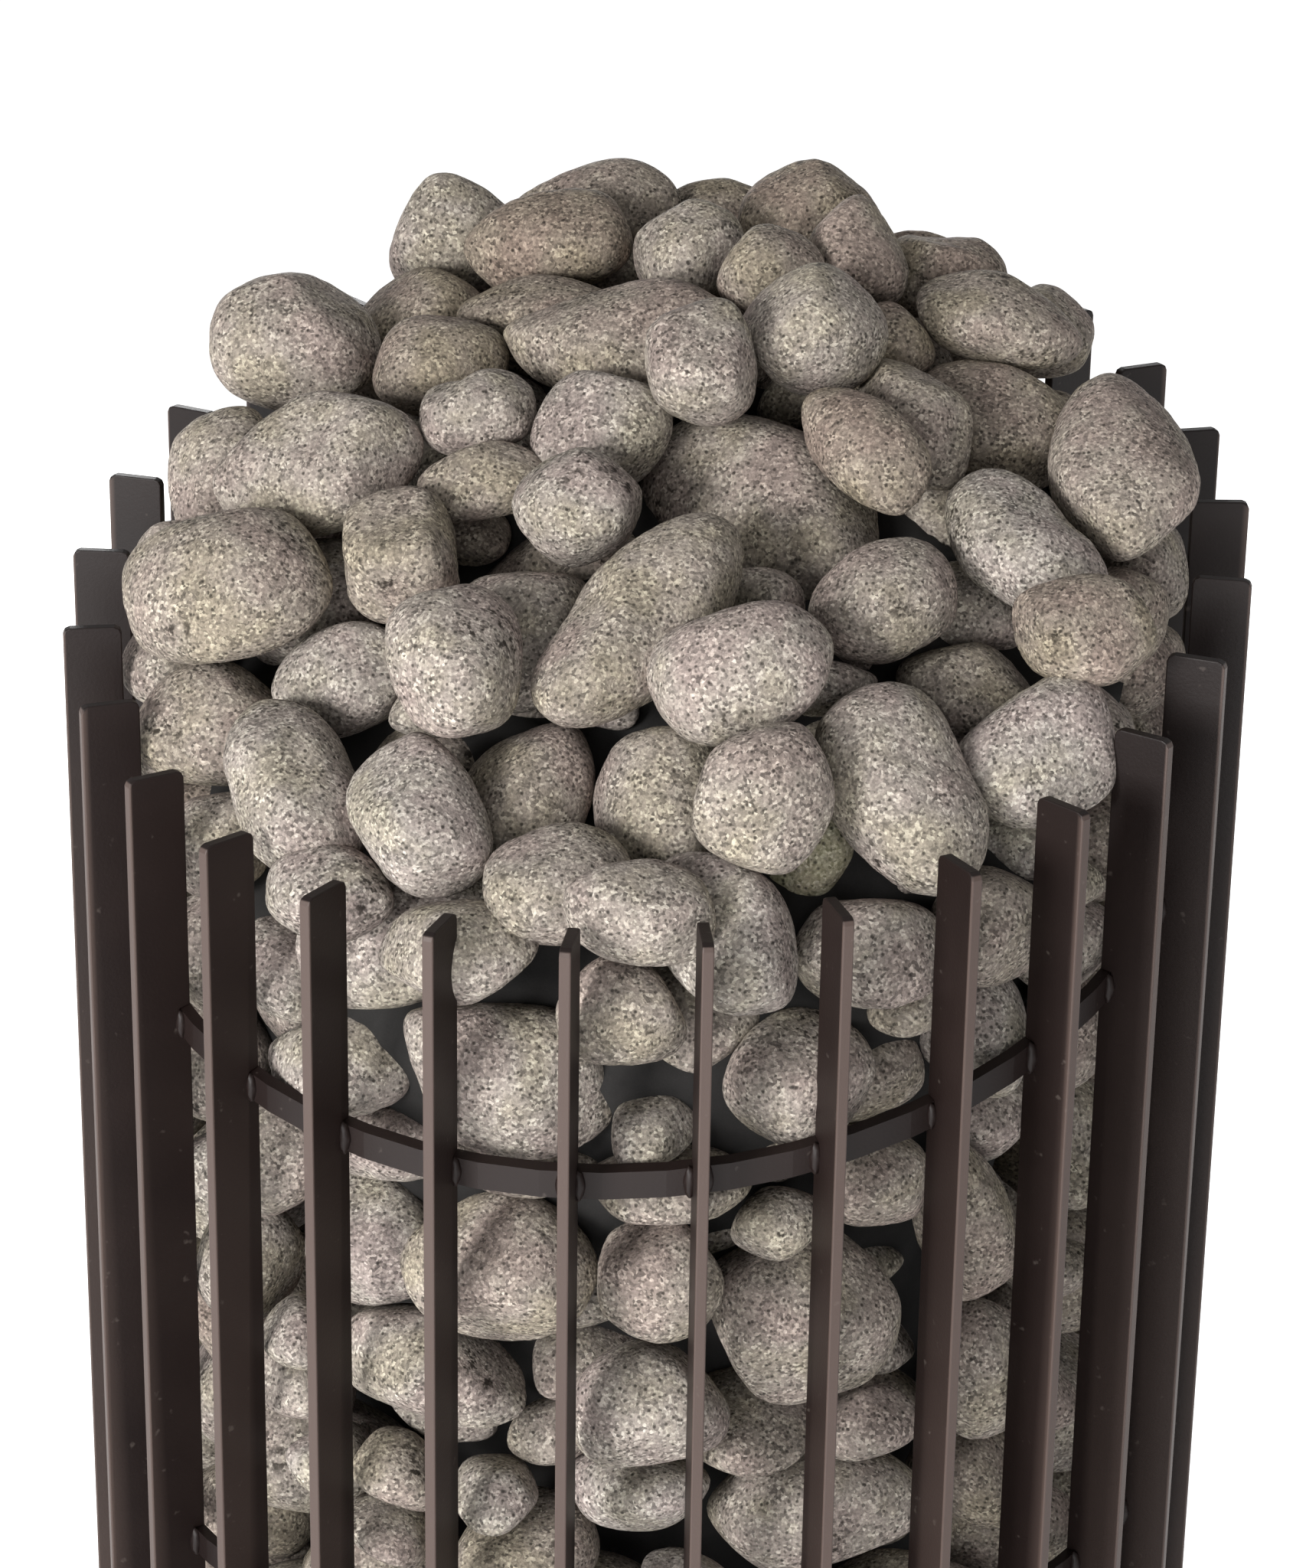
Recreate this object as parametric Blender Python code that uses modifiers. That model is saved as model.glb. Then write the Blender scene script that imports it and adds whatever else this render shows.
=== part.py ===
"""Free-standing sauna heater: an open cage of upright flat bars, filled and heaped with rounded stones.

Metres, +Z up. The origin is on the cage's axis at floor level. The cage's slanted top rises towards +Y,
so -Y is the side that water is thrown from. Every height is measured from the floor.
"""
from collections import namedtuple
from math import cos, pi, radians, sin

import bmesh
import bpy
from mathutils import Matrix, Vector

# Driving dimensions of the cage
CAGE_RADIUS = 0.215          # to the outer edges of the bars
CAGE_HEIGHT_BACK = 0.940     # bar tips on the high side
CAGE_HEIGHT_FRONT = 0.800    # bar tips on the low side
BAR_COUNT = 29
BAR_DEPTH = 0.021            # flat steel, set edge-on to the axis
BAR_THICKNESS = 0.004
BAR_TIP_ROUND = 0.0025
BAR_FOOT_Z = 0.012

# Hoops that the bars are notched for
HOOP_HEIGHT = 0.010
HOOP_THICKNESS = 0.004
UPPER_HOOP_DROP = 0.091      # from the slanted cut down to the hoop's top edge
MIDDLE_HOOP_Z = 0.520
LOWER_HOOP_Z = 0.270

# Floor plate, stone grate and levelling feet
PLATE_Z = 0.024
PLATE_THICKNESS = 0.004
GRATE_Z = 0.130
GRATE_THICKNESS = 0.003
GRATE_SLOT_COUNT = 12
GRATE_SLOT_LENGTH = 0.060
GRATE_SLOT_WIDTH = 0.008
GRATE_SLOT_RADIUS = 0.115    # middle of a slot
FOOT_COUNT = 4
FOOT_RADIUS = 0.165
PAD_RADIUS = 0.016
PAD_HEIGHT = 0.006
PAD_NECK = 0.002             # from the pad up to the stud's full thread
PAD_SLOPE = 0.6              # where the pad's bevel starts, as a share of its radius and height
STUD_RADIUS = 0.004
STUD_TOP_Z = 0.050

# Connection box under the grate
BOX_WIDTH = 0.180
BOX_DEPTH = 0.160
BOX_HEIGHT = 0.074
SHEET = 0.002
GLAND_X = 0.050
GLAND_THREAD_RADIUS = 0.008
GLAND_NUT_RADIUS = 0.012
GLAND_BORE_RADIUS = 0.005
GLAND_LENGTH = 0.026
GLAND_INSIDE = 0.008         # length of the thread inside the wall
GLAND_BEVEL = 0.006          # length of the nut's sloping end
GLAND_END = 0.7              # radius at that end, as a share of the nut's
TERMINAL_SIZE = (0.070, 0.024, 0.022)
TERMINAL_POLES = 4
POCKET_SHARE = (0.67, 0.7, 0.5)   # of a pole's width, and of the block's depth and height
THERMOSTAT_X = -0.055
THERMOSTAT_RADIUS = 0.011
THERMOSTAT_LENGTH = 0.030
BUTTON_RADIUS = 0.004
BUTTON_FLANGE = 0.0015
BUTTON_PROUD = 0.005
BUTTON_TRAVEL = 0.003
BUTTON_DOME = (0.75, 0.001)  # radius of the flat on its head, as a share, and the bevel's depth

# Tubular elements, standing in a well inside the stones
ELEMENT_COUNT = 3
ELEMENT_TUBE_RADIUS = 0.004
ELEMENT_CIRCLE_RADIUS = 0.022
ELEMENT_BEND_RADIUS = 0.016
ELEMENT_TOP_Z = 0.730
ELEMENT_FOOT_DEPTH = 0.016   # how far a leg reaches into the connection box
WELL_RADIUS = 0.045
WELL_TOP_GAP = 0.010

# Heap of stones: a paraboloid with its crest behind the axis
HEAP_PEAK_RISE = 0.010       # above the highest bar tips
HEAP_PEAK_Y = 0.125
HEAP_FALL_ALONG = 1.8        # drop in metres per square metre, along Y
HEAP_FALL_ACROSS = 1.2       # the same, along X

HEAP_RINGS = (0, 0.25, 0.5, 0.7, 0.85, 1)

CLEARANCE = 0.0003           # between pieces that touch on the real heater
STONE_SEAT = 0.0035          # between a crown stone and its hollow in the heap
RING_STEPS = 2 * BAR_COUNT
FINE_STEPS = 24              # round the gland and the button
COARSE_STEPS = 16            # round the feet and the small holes
MERGE_DISTANCE = 0.00001

# What follows from them
CUT_SLOPE = (CAGE_HEIGHT_BACK - CAGE_HEIGHT_FRONT) / (2 * CAGE_RADIUS)
CUT_MIDDLE_Z = (CAGE_HEIGHT_BACK + CAGE_HEIGHT_FRONT) / 2
INNER_RADIUS = CAGE_RADIUS - BAR_DEPTH
HOOP_OUTER = INNER_RADIUS + HOOP_THICKNESS
STONE_RADIUS = INNER_RADIUS - 2 * CLEARANCE
HEAP_PEAK_Z = CAGE_HEIGHT_BACK + HEAP_PEAK_RISE
BOX_Z = PLATE_Z + PLATE_THICKNESS + CLEARANCE
BOX_TOP_Z = BOX_Z + BOX_HEIGHT
BOX_BACK_Y = BOX_DEPTH / 2
BOX_FRONT_Y = -BOX_DEPTH / 2
BUTTON_Z = BOX_Z + BOX_HEIGHT / 2
UP = Vector((0, 0, 1))

CrownStone = namedtuple("CrownStone", "bearing inset lift length width height turn tilt taper bend")
CROWN_STONES = [
    CrownStone(10.5, 0.107, 0.000, 0.104, 0.050, 0.044, 59, 29, 0.05, 0.10),
    CrownStone(-49.5, 0.092, 0.003, 0.052, 0.048, 0.042, 100, 24, 0.05, 0.00),
    CrownStone(62.5, 0.089, -0.012, 0.056, 0.047, 0.042, 30, 14, -0.10, 0.00),
    CrownStone(-106, 0.037, 0.010, 0.068, 0.058, 0.050, 14, -4, 0.12, 0.06),
    CrownStone(-172, 0.088, 0.002, 0.048, 0.043, 0.038, 35, 10, 0.10, 0.00),
    CrownStone(46.5, 0.038, -0.011, 0.082, 0.057, 0.048, -45, -38, 0.20, 0.05),
    CrownStone(2, 0.034, -0.004, 0.054, 0.050, 0.044, 8, 4, -0.08, 0.00),
    CrownStone(148, 0.042, 0.001, 0.046, 0.042, 0.038, 20, 0, 0.05, 0.00),
    CrownStone(-88.5, 0.126, 0.000, 0.048, 0.036, 0.030, 6, 6, 0.10, 0.05),
    CrownStone(84, 0.057, -0.006, 0.078, 0.044, 0.040, -35, -24, 0.08, 0.06),
    CrownStone(-37, 0.031, -0.008, 0.076, 0.048, 0.042, -50, -30, -0.10, 0.05),
    CrownStone(171.5, 0.042, 0.008, 0.060, 0.048, 0.042, 14, 0, 0.05, 0.00),
]
STONE_SQUARENESS = 2.35      # exponent of the rounded-box stone shape; 2 is an ellipsoid
BEND_MIDDLE = 0.35           # keeps a bent stone about its own middle
STONE_LUMP = 0.035           # height of the stone's low swells, as a share of its radius
CROWN_LIFT = 0.150           # how far the hollow above a crown stone is kept clear

COATED_STEEL = ("#2e2523", 0.45, 0.55)
RAW_STEEL = ("#8f8f8c", 0.40, 1.0)
STAINLESS = ("#a9a8a4", 0.30, 1.0)
BLACK_PLASTIC = ("#1d1d1f", 0.50, 0.0)
PALE_CERAMIC = ("#d9d4c6", 0.60, 0.0)
RED_PLASTIC = ("#a3231c", 0.40, 0.0)
STONE_GREY = ("#86817b", 0.85, 0.0)


def start_collections():
    """Empty the scene and make one collection for the parts and one for the cutters."""
    for item in list(bpy.data.objects):
        bpy.data.objects.remove(item, do_unlink=True)
    parts = bpy.data.collections.new("sauna_heater")
    cutters = bpy.data.collections.new("cutters")
    bpy.context.scene.collection.children.link(parts)
    bpy.context.scene.collection.children.link(cutters)
    return parts, cutters


PARTS, CUTTERS = start_collections()


def linear(channel):
    """Turn one sRGB channel, 0 to 1, to linear light."""
    return channel / 12.92 if channel <= 0.04045 else ((channel + 0.055) / 1.055) ** 2.4


def finish(item, name, look):
    """Name a part, put it in the parts collection and give it its own material."""
    colour, roughness, metallic = look
    item.name = name
    item.data.name = name
    PARTS.objects.link(item)
    material = bpy.data.materials.new(name)
    material.use_nodes = True
    shader = material.node_tree.nodes["Principled BSDF"]
    channels = [linear(int(colour[i:i + 2], 16) / 255) for i in (1, 3, 5)]
    shader.inputs["Base Color"].default_value = (*channels, 1)
    shader.inputs["Roughness"].default_value = roughness
    shader.inputs["Metallic"].default_value = metallic
    item.data.materials.append(material)
    return item


def as_object(shape, name):
    """Turn a bmesh into an object that is in no collection yet."""
    mesh = bpy.data.meshes.new(name)
    shape.to_mesh(mesh)
    shape.free()
    return bpy.data.objects.new(name, mesh)


def as_cutter(item):
    """Keep a shape as a hidden cutter."""
    item.hide_render = True
    item.display_type = "WIRE"
    CUTTERS.objects.link(item)
    return item


def cut(item, cutter):
    """Take a cutter's shape away from a part."""
    step = item.modifiers.new(f"cut_{cutter.name}", "BOOLEAN")
    step.operation = "DIFFERENCE"
    step.solver = "EXACT"
    step.object = cutter
    return item


def box(name, size, centre):
    """A rectangular block."""
    shape = bmesh.new()
    bmesh.ops.create_cube(shape, size=1)
    bmesh.ops.scale(shape, vec=size, verts=shape.verts)
    bmesh.ops.translate(shape, vec=centre, verts=shape.verts)
    return as_object(shape, name)


def cylinder(name, radius, start, end, segments=24):
    """A round bar between two points."""
    start, end = Vector(start), Vector(end)
    shape = bmesh.new()
    bmesh.ops.create_cone(shape, cap_ends=True, segments=segments, radius1=radius, radius2=radius,
                          depth=(end - start).length)
    turn = UP.rotation_difference(end - start).to_matrix().to_4x4()
    bmesh.ops.transform(shape, matrix=Matrix.Translation((start + end) / 2) @ turn, verts=shape.verts)
    return as_object(shape, name)


def turned(name, profile, steps):
    """A shape turned about Z from (radius, height) points, listed down its outer side."""
    mesh = bpy.data.meshes.new(name)
    points = [(radius, 0, height) for radius, height in profile]
    mesh.from_pydata(points, [(i, i + 1) for i in range(len(points) - 1)], [])
    item = bpy.data.objects.new(name, mesh)
    turn = item.modifiers.new("turn", "SCREW")
    turn.steps = steps
    turn.render_steps = steps
    turn.use_merge_vertices = True
    turn.merge_threshold = MERGE_DISTANCE
    turn.use_smooth_shade = False
    return item


def baked(item):
    """The same object with its modifiers made real."""
    bpy.context.scene.collection.objects.link(item)
    bpy.context.view_layer.update()
    graph = bpy.context.evaluated_depsgraph_get()
    mesh = bpy.data.meshes.new_from_object(item.evaluated_get(graph))
    copy = bpy.data.objects.new(item.name, mesh)
    copy.matrix_world = item.matrix_world
    bpy.data.objects.remove(item, do_unlink=True)
    return copy


def cut_height(y):
    """Height of the cage's slanted cut."""
    return CUT_MIDDLE_Z + CUT_SLOPE * y


def heap_height(x, y):
    """Height of the heap's surface, at the middles of its top stones."""
    return HEAP_PEAK_Z - HEAP_FALL_ALONG * (y - HEAP_PEAK_Y) ** 2 - HEAP_FALL_ACROSS * x ** 2


def ring(name, z, slope, inner, outer, height):
    """A flat hoop with its top edge at z on the axis, leaning by slope along Y."""
    profile = [(inner, z), (outer, z), (outer, z - height), (inner, z - height), (inner, z)]
    item = baked(turned(name, profile, RING_STEPS))
    lean = Matrix(((1, 0, 0, 0), (0, 1, 0, 0), (0, slope, 1, 0), (0, 0, 0, 1)))
    item.data.transform(lean)
    return item


def hoop_levels():
    """Name, top edge on the axis and slope of each hoop."""
    return [("hoop_upper", CUT_MIDDLE_Z - UPPER_HOOP_DROP, CUT_SLOPE),
            ("hoop_middle", MIDDLE_HOOP_Z, 0.0),
            ("hoop_lower", LOWER_HOOP_Z, 0.0)]


def notch_cutters():
    """Rings that cut the bars' inner edges where a hoop or a plate seats."""
    depth = BAR_DEPTH / 2
    rims = [(f"notch_{name}", z, slope, HOOP_HEIGHT) for name, z, slope in hoop_levels()]
    rims.append(("notch_plate", PLATE_Z + PLATE_THICKNESS, 0.0, PLATE_THICKNESS))
    rims.append(("notch_grate", GRATE_Z + GRATE_THICKNESS, 0.0, GRATE_THICKNESS))
    return [as_cutter(ring(name, z + CLEARANCE, slope, INNER_RADIUS - depth, HOOP_OUTER + CLEARANCE,
                           height + 2 * CLEARANCE))
            for name, z, slope, height in rims]


def bar(name, angle, notches):
    """One upright flat bar at an angle from the front, its tip rounded and its inner edge notched."""
    middle = CAGE_RADIUS - BAR_DEPTH / 2
    tip_z = cut_height(-middle * cos(angle))
    shape = bmesh.new()
    bmesh.ops.create_cube(shape, size=1)
    bmesh.ops.scale(shape, vec=(BAR_THICKNESS, BAR_DEPTH, tip_z - BAR_FOOT_Z), verts=shape.verts)
    corners = [edge for edge in shape.edges
               if all(vert.co.z > 0 for vert in edge.verts)
               and abs(edge.verts[0].co.y - edge.verts[1].co.y) < CLEARANCE]
    bmesh.ops.bevel(shape, geom=corners, offset=BAR_TIP_ROUND, segments=2, profile=0.5,
                    affect="EDGES")
    place = Matrix.Rotation(angle, 4, "Z") @ Matrix.Translation((0, -middle, (tip_z + BAR_FOOT_Z) / 2))
    bmesh.ops.transform(shape, matrix=place, verts=shape.verts)
    item = as_object(shape, name)
    for notch in notches:
        cut(item, notch)
    return finish(item, name, COATED_STEEL)


def build_cage():
    """Bars, evenly spaced with the gap between two of them at the front, and the hoops."""
    notches = notch_cutters()
    for index in range(BAR_COUNT):
        angle = (index + 0.5) * 2 * pi / BAR_COUNT
        bar(f"bar_{index + 1:02d}", angle, notches)
    for name, z, slope in hoop_levels():
        item = ring(name, z, slope, INNER_RADIUS, HOOP_OUTER, HOOP_HEIGHT)
        finish(item, name, COATED_STEEL)


def element_leg_places():
    """Where the legs of each element stand, two for each element."""
    places = []
    for index in range(ELEMENT_COUNT):
        turn = Matrix.Rotation(2 * pi * index / ELEMENT_COUNT, 3, "Z")
        legs = [turn @ Vector((side * ELEMENT_BEND_RADIUS, ELEMENT_CIRCLE_RADIUS, 0)) for side in (-1, 1)]
        places.append(legs)
    return places


def leg_cutters():
    """Round cutters for the holes that the element legs pass through."""
    radius = ELEMENT_TUBE_RADIUS + CLEARANCE
    low = UP * (BOX_TOP_Z - 2 * SHEET)
    high = UP * (GRATE_Z + 2 * GRATE_THICKNESS)
    legs = [leg for pair in element_leg_places() for leg in pair]
    return [as_cutter(cylinder(f"leg_hole_{index}", radius, leg + low, leg + high, segments=COARSE_STEPS))
            for index, leg in enumerate(legs)]


def foot_places():
    """The feet stand between the sides, at the corners of a square."""
    angles = [pi / 4 + 2 * pi * index / FOOT_COUNT for index in range(FOOT_COUNT)]
    return [Vector((FOOT_RADIUS * cos(angle), FOOT_RADIUS * sin(angle), 0)) for angle in angles]


def build_floor_plate():
    """Round plate that carries the connection box and the feet."""
    profile = [(0, PLATE_Z + PLATE_THICKNESS), (HOOP_OUTER, PLATE_Z + PLATE_THICKNESS),
               (HOOP_OUTER, PLATE_Z), (0, PLATE_Z)]
    plate = turned("base_plate", profile, RING_STEPS)
    radius = STUD_RADIUS + CLEARANCE
    low = UP * (PLATE_Z - PLATE_THICKNESS)
    high = UP * (PLATE_Z + 2 * PLATE_THICKNESS)
    for index, place in enumerate(foot_places()):
        hole = cylinder(f"foot_hole_{index}", radius, place + low, place + high, segments=COARSE_STEPS)
        cut(plate, as_cutter(hole))
    finish(plate, "base_plate", COATED_STEEL)


def build_feet():
    """Levelling feet: a round pad on a threaded stud."""
    neck = PAD_HEIGHT + PAD_NECK
    profile = [(0, STUD_TOP_Z), (STUD_RADIUS, STUD_TOP_Z), (STUD_RADIUS, neck),
               (PAD_SLOPE * PAD_RADIUS, PAD_HEIGHT), (PAD_RADIUS, PAD_SLOPE * PAD_HEIGHT),
               (PAD_RADIUS, 0), (0, 0)]
    for index, place in enumerate(foot_places()):
        foot = turned(f"foot_{index + 1}", profile, COARSE_STEPS)
        foot.location = place
        finish(foot, f"foot_{index + 1}", RAW_STEEL)


def build_grate(leg_holes):
    """Slotted plate that the stones lie on, with holes for the element legs."""
    top = GRATE_Z + GRATE_THICKNESS
    profile = [(0, top), (HOOP_OUTER, top), (HOOP_OUTER, GRATE_Z), (0, GRATE_Z)]
    grate = turned("stone_grate", profile, RING_STEPS)
    for index in range(GRATE_SLOT_COUNT):
        slot = box(f"grate_slot_{index}", (GRATE_SLOT_LENGTH, GRATE_SLOT_WIDTH, 3 * GRATE_THICKNESS),
                   (GRATE_SLOT_RADIUS, 0, GRATE_Z + GRATE_THICKNESS / 2))
        slot.data.transform(Matrix.Rotation((index + 0.5) * 2 * pi / GRATE_SLOT_COUNT, 4, "Z"))
        cut(grate, as_cutter(slot))
    for hole in leg_holes:
        cut(grate, hole)
    finish(grate, "stone_grate", COATED_STEEL)


def build_connection_box(leg_holes):
    """Sheet-steel box, open at the front, where the supply cable meets the elements."""
    middle_z = BOX_Z + BOX_HEIGHT / 2
    shell = box("connection_box", (BOX_WIDTH, BOX_DEPTH, BOX_HEIGHT), (0, 0, middle_z))
    inside = box("box_inside", (BOX_WIDTH - 2 * SHEET, BOX_DEPTH, BOX_HEIGHT - 2 * SHEET),
                 (0, -SHEET, middle_z))
    cut(shell, as_cutter(inside))
    before = (GLAND_X, BOX_BACK_Y - 3 * SHEET, middle_z)
    behind = (GLAND_X, BOX_BACK_Y + SHEET, middle_z)
    cut(shell, as_cutter(cylinder("gland_hole", GLAND_THREAD_RADIUS + CLEARANCE, before, behind)))
    for hole in leg_holes:
        cut(shell, hole)
    finish(shell, "connection_box", RAW_STEEL)


def build_cover():
    """Front cover of the connection box, with the hole for the reset button."""
    face_y = BOX_FRONT_Y - CLEARANCE - SHEET / 2
    cover = box("connection_cover", (BOX_WIDTH, SHEET, BOX_HEIGHT), (0, face_y, BUTTON_Z))
    hole = cylinder("button_hole", BUTTON_RADIUS + CLEARANCE,
                    (THERMOSTAT_X, face_y - SHEET, BUTTON_Z), (THERMOSTAT_X, face_y + SHEET, BUTTON_Z))
    cut(cover, as_cutter(hole))
    finish(cover, "connection_cover", RAW_STEEL)


def build_gland():
    """Cable gland through the box's back wall, with a round bore for the supply cable."""
    inner, outer = -GLAND_INSIDE, GLAND_LENGTH - GLAND_INSIDE
    seat = CLEARANCE
    profile = [(GLAND_BORE_RADIUS, outer), (GLAND_NUT_RADIUS * GLAND_END, outer),
               (GLAND_NUT_RADIUS, outer - GLAND_BEVEL), (GLAND_NUT_RADIUS, seat),
               (GLAND_THREAD_RADIUS, seat), (GLAND_THREAD_RADIUS, inner),
               (GLAND_BORE_RADIUS, inner), (GLAND_BORE_RADIUS, outer)]
    gland = turned("cable_gland", profile, FINE_STEPS)
    gland.rotation_euler = (-pi / 2, 0, 0)
    gland.location = (GLAND_X, BOX_BACK_Y, BOX_Z + BOX_HEIGHT / 2)
    finish(gland, "cable_gland", BLACK_PLASTIC)


def build_terminals():
    """Terminal block on the box's floor, with a raised rib between its poles."""
    width, depth, height = TERMINAL_SIZE
    floor_z = BOX_Z + SHEET + CLEARANCE
    block = box("terminal_block", TERMINAL_SIZE, (0, BOX_BACK_Y / 2, floor_z + height / 2))
    pole = width / TERMINAL_POLES
    size = (pole * POCKET_SHARE[0], depth * POCKET_SHARE[1], height * POCKET_SHARE[2])
    for index in range(TERMINAL_POLES):
        x = (index + 0.5) * pole - width / 2
        pocket = box(f"terminal_pocket_{index}", size, (x, BOX_BACK_Y / 2, floor_z + height))
        cut(block, as_cutter(pocket))
    finish(block, "terminal_block", PALE_CERAMIC)


def build_thermostat():
    """Overheat cut-out behind the cover and the reset button that works it."""
    back_of_cover = BOX_FRONT_Y - CLEARANCE
    flange_y = back_of_cover + CLEARANCE
    flange_end = flange_y + BUTTON_FLANGE
    body_y = flange_end + BUTTON_TRAVEL + CLEARANCE
    body = cylinder("limit_thermostat", THERMOSTAT_RADIUS, (THERMOSTAT_X, body_y, BUTTON_Z),
                    (THERMOSTAT_X, body_y + THERMOSTAT_LENGTH, BUTTON_Z))
    finish(body, "limit_thermostat", BLACK_PLASTIC)
    head = back_of_cover - SHEET - BUTTON_PROUD
    profile = [(0, 0), (BUTTON_RADIUS * BUTTON_DOME[0], 0), (BUTTON_RADIUS, -BUTTON_DOME[1]),
               (BUTTON_RADIUS, head - flange_y),
               (BUTTON_RADIUS + BUTTON_FLANGE, head - flange_y),
               (BUTTON_RADIUS + BUTTON_FLANGE, head - flange_end), (0, head - flange_end)]
    button = turned("reset_button", profile, FINE_STEPS)
    button.rotation_euler = (pi / 2, 0, 0)
    button.location = (THERMOSTAT_X, head, BUTTON_Z)
    finish(button, "reset_button", RED_PLASTIC)


def hairpin(name, legs):
    """A tubular element: two straight legs joined by a half-round bend at the top."""
    left, right = legs
    middle = (left + right) / 2
    bend_z = ELEMENT_TOP_Z - ELEMENT_BEND_RADIUS
    foot_z = BOX_TOP_Z - ELEMENT_FOOT_DEPTH
    steps = 8
    across = (right - left).normalized()
    points = [left + UP * foot_z]
    for index in range(steps + 1):
        angle = pi * index / steps
        offset = across * -cos(angle) + UP * sin(angle)
        points.append(middle + UP * bend_z + offset * ELEMENT_BEND_RADIUS)
    points.append(right + UP * foot_z)
    curve = bpy.data.curves.new(name, "CURVE")
    curve.dimensions = "3D"
    curve.bevel_depth = ELEMENT_TUBE_RADIUS
    curve.bevel_resolution = 2
    curve.use_fill_caps = True
    spline = curve.splines.new("POLY")
    spline.points.add(len(points) - 1)
    for point, place in zip(spline.points, points):
        point.co = (*place, 1)
    return finish(bpy.data.objects.new(name, curve), name, STAINLESS)


def stone_place(stone):
    """A crown stone's middle, from its bearing from the front and its distance in from the bars."""
    reach = STONE_RADIUS - stone.inset
    x = reach * sin(radians(stone.bearing))
    y = -reach * cos(radians(stone.bearing))
    return Vector((x, y, heap_height(x, y) + stone.lift))


def swelling(x, y, z, phase):
    """Low swells of a stone's surface, as a factor of its radius."""
    return 1 + STONE_LUMP * (sin(3 * x + 7 * phase) * cos(2.6 * y - 5 * phase) + 0.6 * sin(4 * z + phase))


def stone_shape(stone, grow=0.0, fineness=3):
    """A stone's surface: a rounded box, tapered, bent and slightly swollen, laid in its place."""
    shape = bmesh.new()
    bmesh.ops.create_icosphere(shape, subdivisions=fineness, radius=1)
    phase = radians(stone.bearing)
    half = Vector((stone.length / 2 + grow, stone.width / 2 + grow, stone.height / 2 + grow))
    for vert in shape.verts:
        x, y, z = vert.co
        reach = (abs(x) ** STONE_SQUARENESS + abs(y) ** STONE_SQUARENESS + abs(z) ** STONE_SQUARENESS)
        reach = reach ** (-1 / STONE_SQUARENESS) * swelling(x, y, z, phase)
        x, y, z = x * reach, y * reach, z * reach
        y = y * (1 - stone.taper * x) + stone.bend * (x * x - BEND_MIDDLE)
        z = z * (1 - stone.taper / 2 * x)
        vert.co = Vector((x * half.x, y * half.y, z * half.z))
    place = Matrix.Translation(stone_place(stone))
    turn = Matrix.Rotation(radians(stone.turn), 4, "Z") @ Matrix.Rotation(-radians(stone.tilt), 4, "Y")
    bmesh.ops.transform(shape, matrix=place @ turn, verts=shape.verts)
    return shape


def hollow(name, stone):
    """Cutter for a crown stone's hollow: the hull of the stone, grown a little, and its lifted place."""
    grown = stone_shape(stone, grow=STONE_SEAT, fineness=2)
    places = [vert.co.copy() for vert in grown.verts]
    grown.free()
    shape = bmesh.new()
    for place in places:
        shape.verts.new(place)
        shape.verts.new(place + UP * CROWN_LIFT)
    bmesh.ops.convex_hull(shape, input=shape.verts)
    loose = [vert for vert in shape.verts if not vert.link_faces]
    bmesh.ops.delete(shape, geom=loose, context="VERTS")
    return as_cutter(as_object(shape, name))


def build_stones():
    """The heap as one solid with a well for the elements, and the separate stones that crown it."""
    bottom = GRATE_Z + GRATE_THICKNESS + CLEARANCE
    well_top = ELEMENT_TOP_Z + ELEMENT_TUBE_RADIUS + WELL_TOP_GAP
    rings = [STONE_RADIUS * share for share in HEAP_RINGS]
    profile = [(radius, HEAP_PEAK_Z) for radius in rings]
    profile += [(STONE_RADIUS, bottom), (WELL_RADIUS, bottom), (WELL_RADIUS, well_top), (0, well_top)]
    heap = baked(turned("stone_fill", profile, RING_STEPS))
    for vert in heap.data.vertices:
        if vert.co.z > HEAP_PEAK_Z - CLEARANCE:
            vert.co.z = heap_height(vert.co.x, vert.co.y)
    for index, stone in enumerate(CROWN_STONES):
        cut(heap, hollow(f"hollow_{index + 1:02d}", stone))
        name = f"crown_stone_{index + 1:02d}"
        item = as_object(stone_shape(stone), name)
        item.data.shade_smooth()
        finish(item, name, STONE_GREY)
    finish(heap, "stone_fill", STONE_GREY)


def build():
    build_cage()
    build_floor_plate()
    build_feet()
    leg_holes = leg_cutters()
    build_grate(leg_holes)
    build_connection_box(leg_holes)
    build_cover()
    build_gland()
    build_terminals()
    build_thermostat()
    for index, legs in enumerate(element_leg_places()):
        hairpin(f"heating_element_{index + 1}", legs)
    build_stones()


build()
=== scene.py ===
"""Looks of a free-standing sauna heater: a cage of powder-coated flat bars, heaped with rounded stones.

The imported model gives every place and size; the stones are laid in it one by one, from the grate up.
"""

from collections import namedtuple
from math import cos, pi, radians, sin

import bmesh
import bpy
import numpy as np
from mathutils import Matrix, Vector


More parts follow.
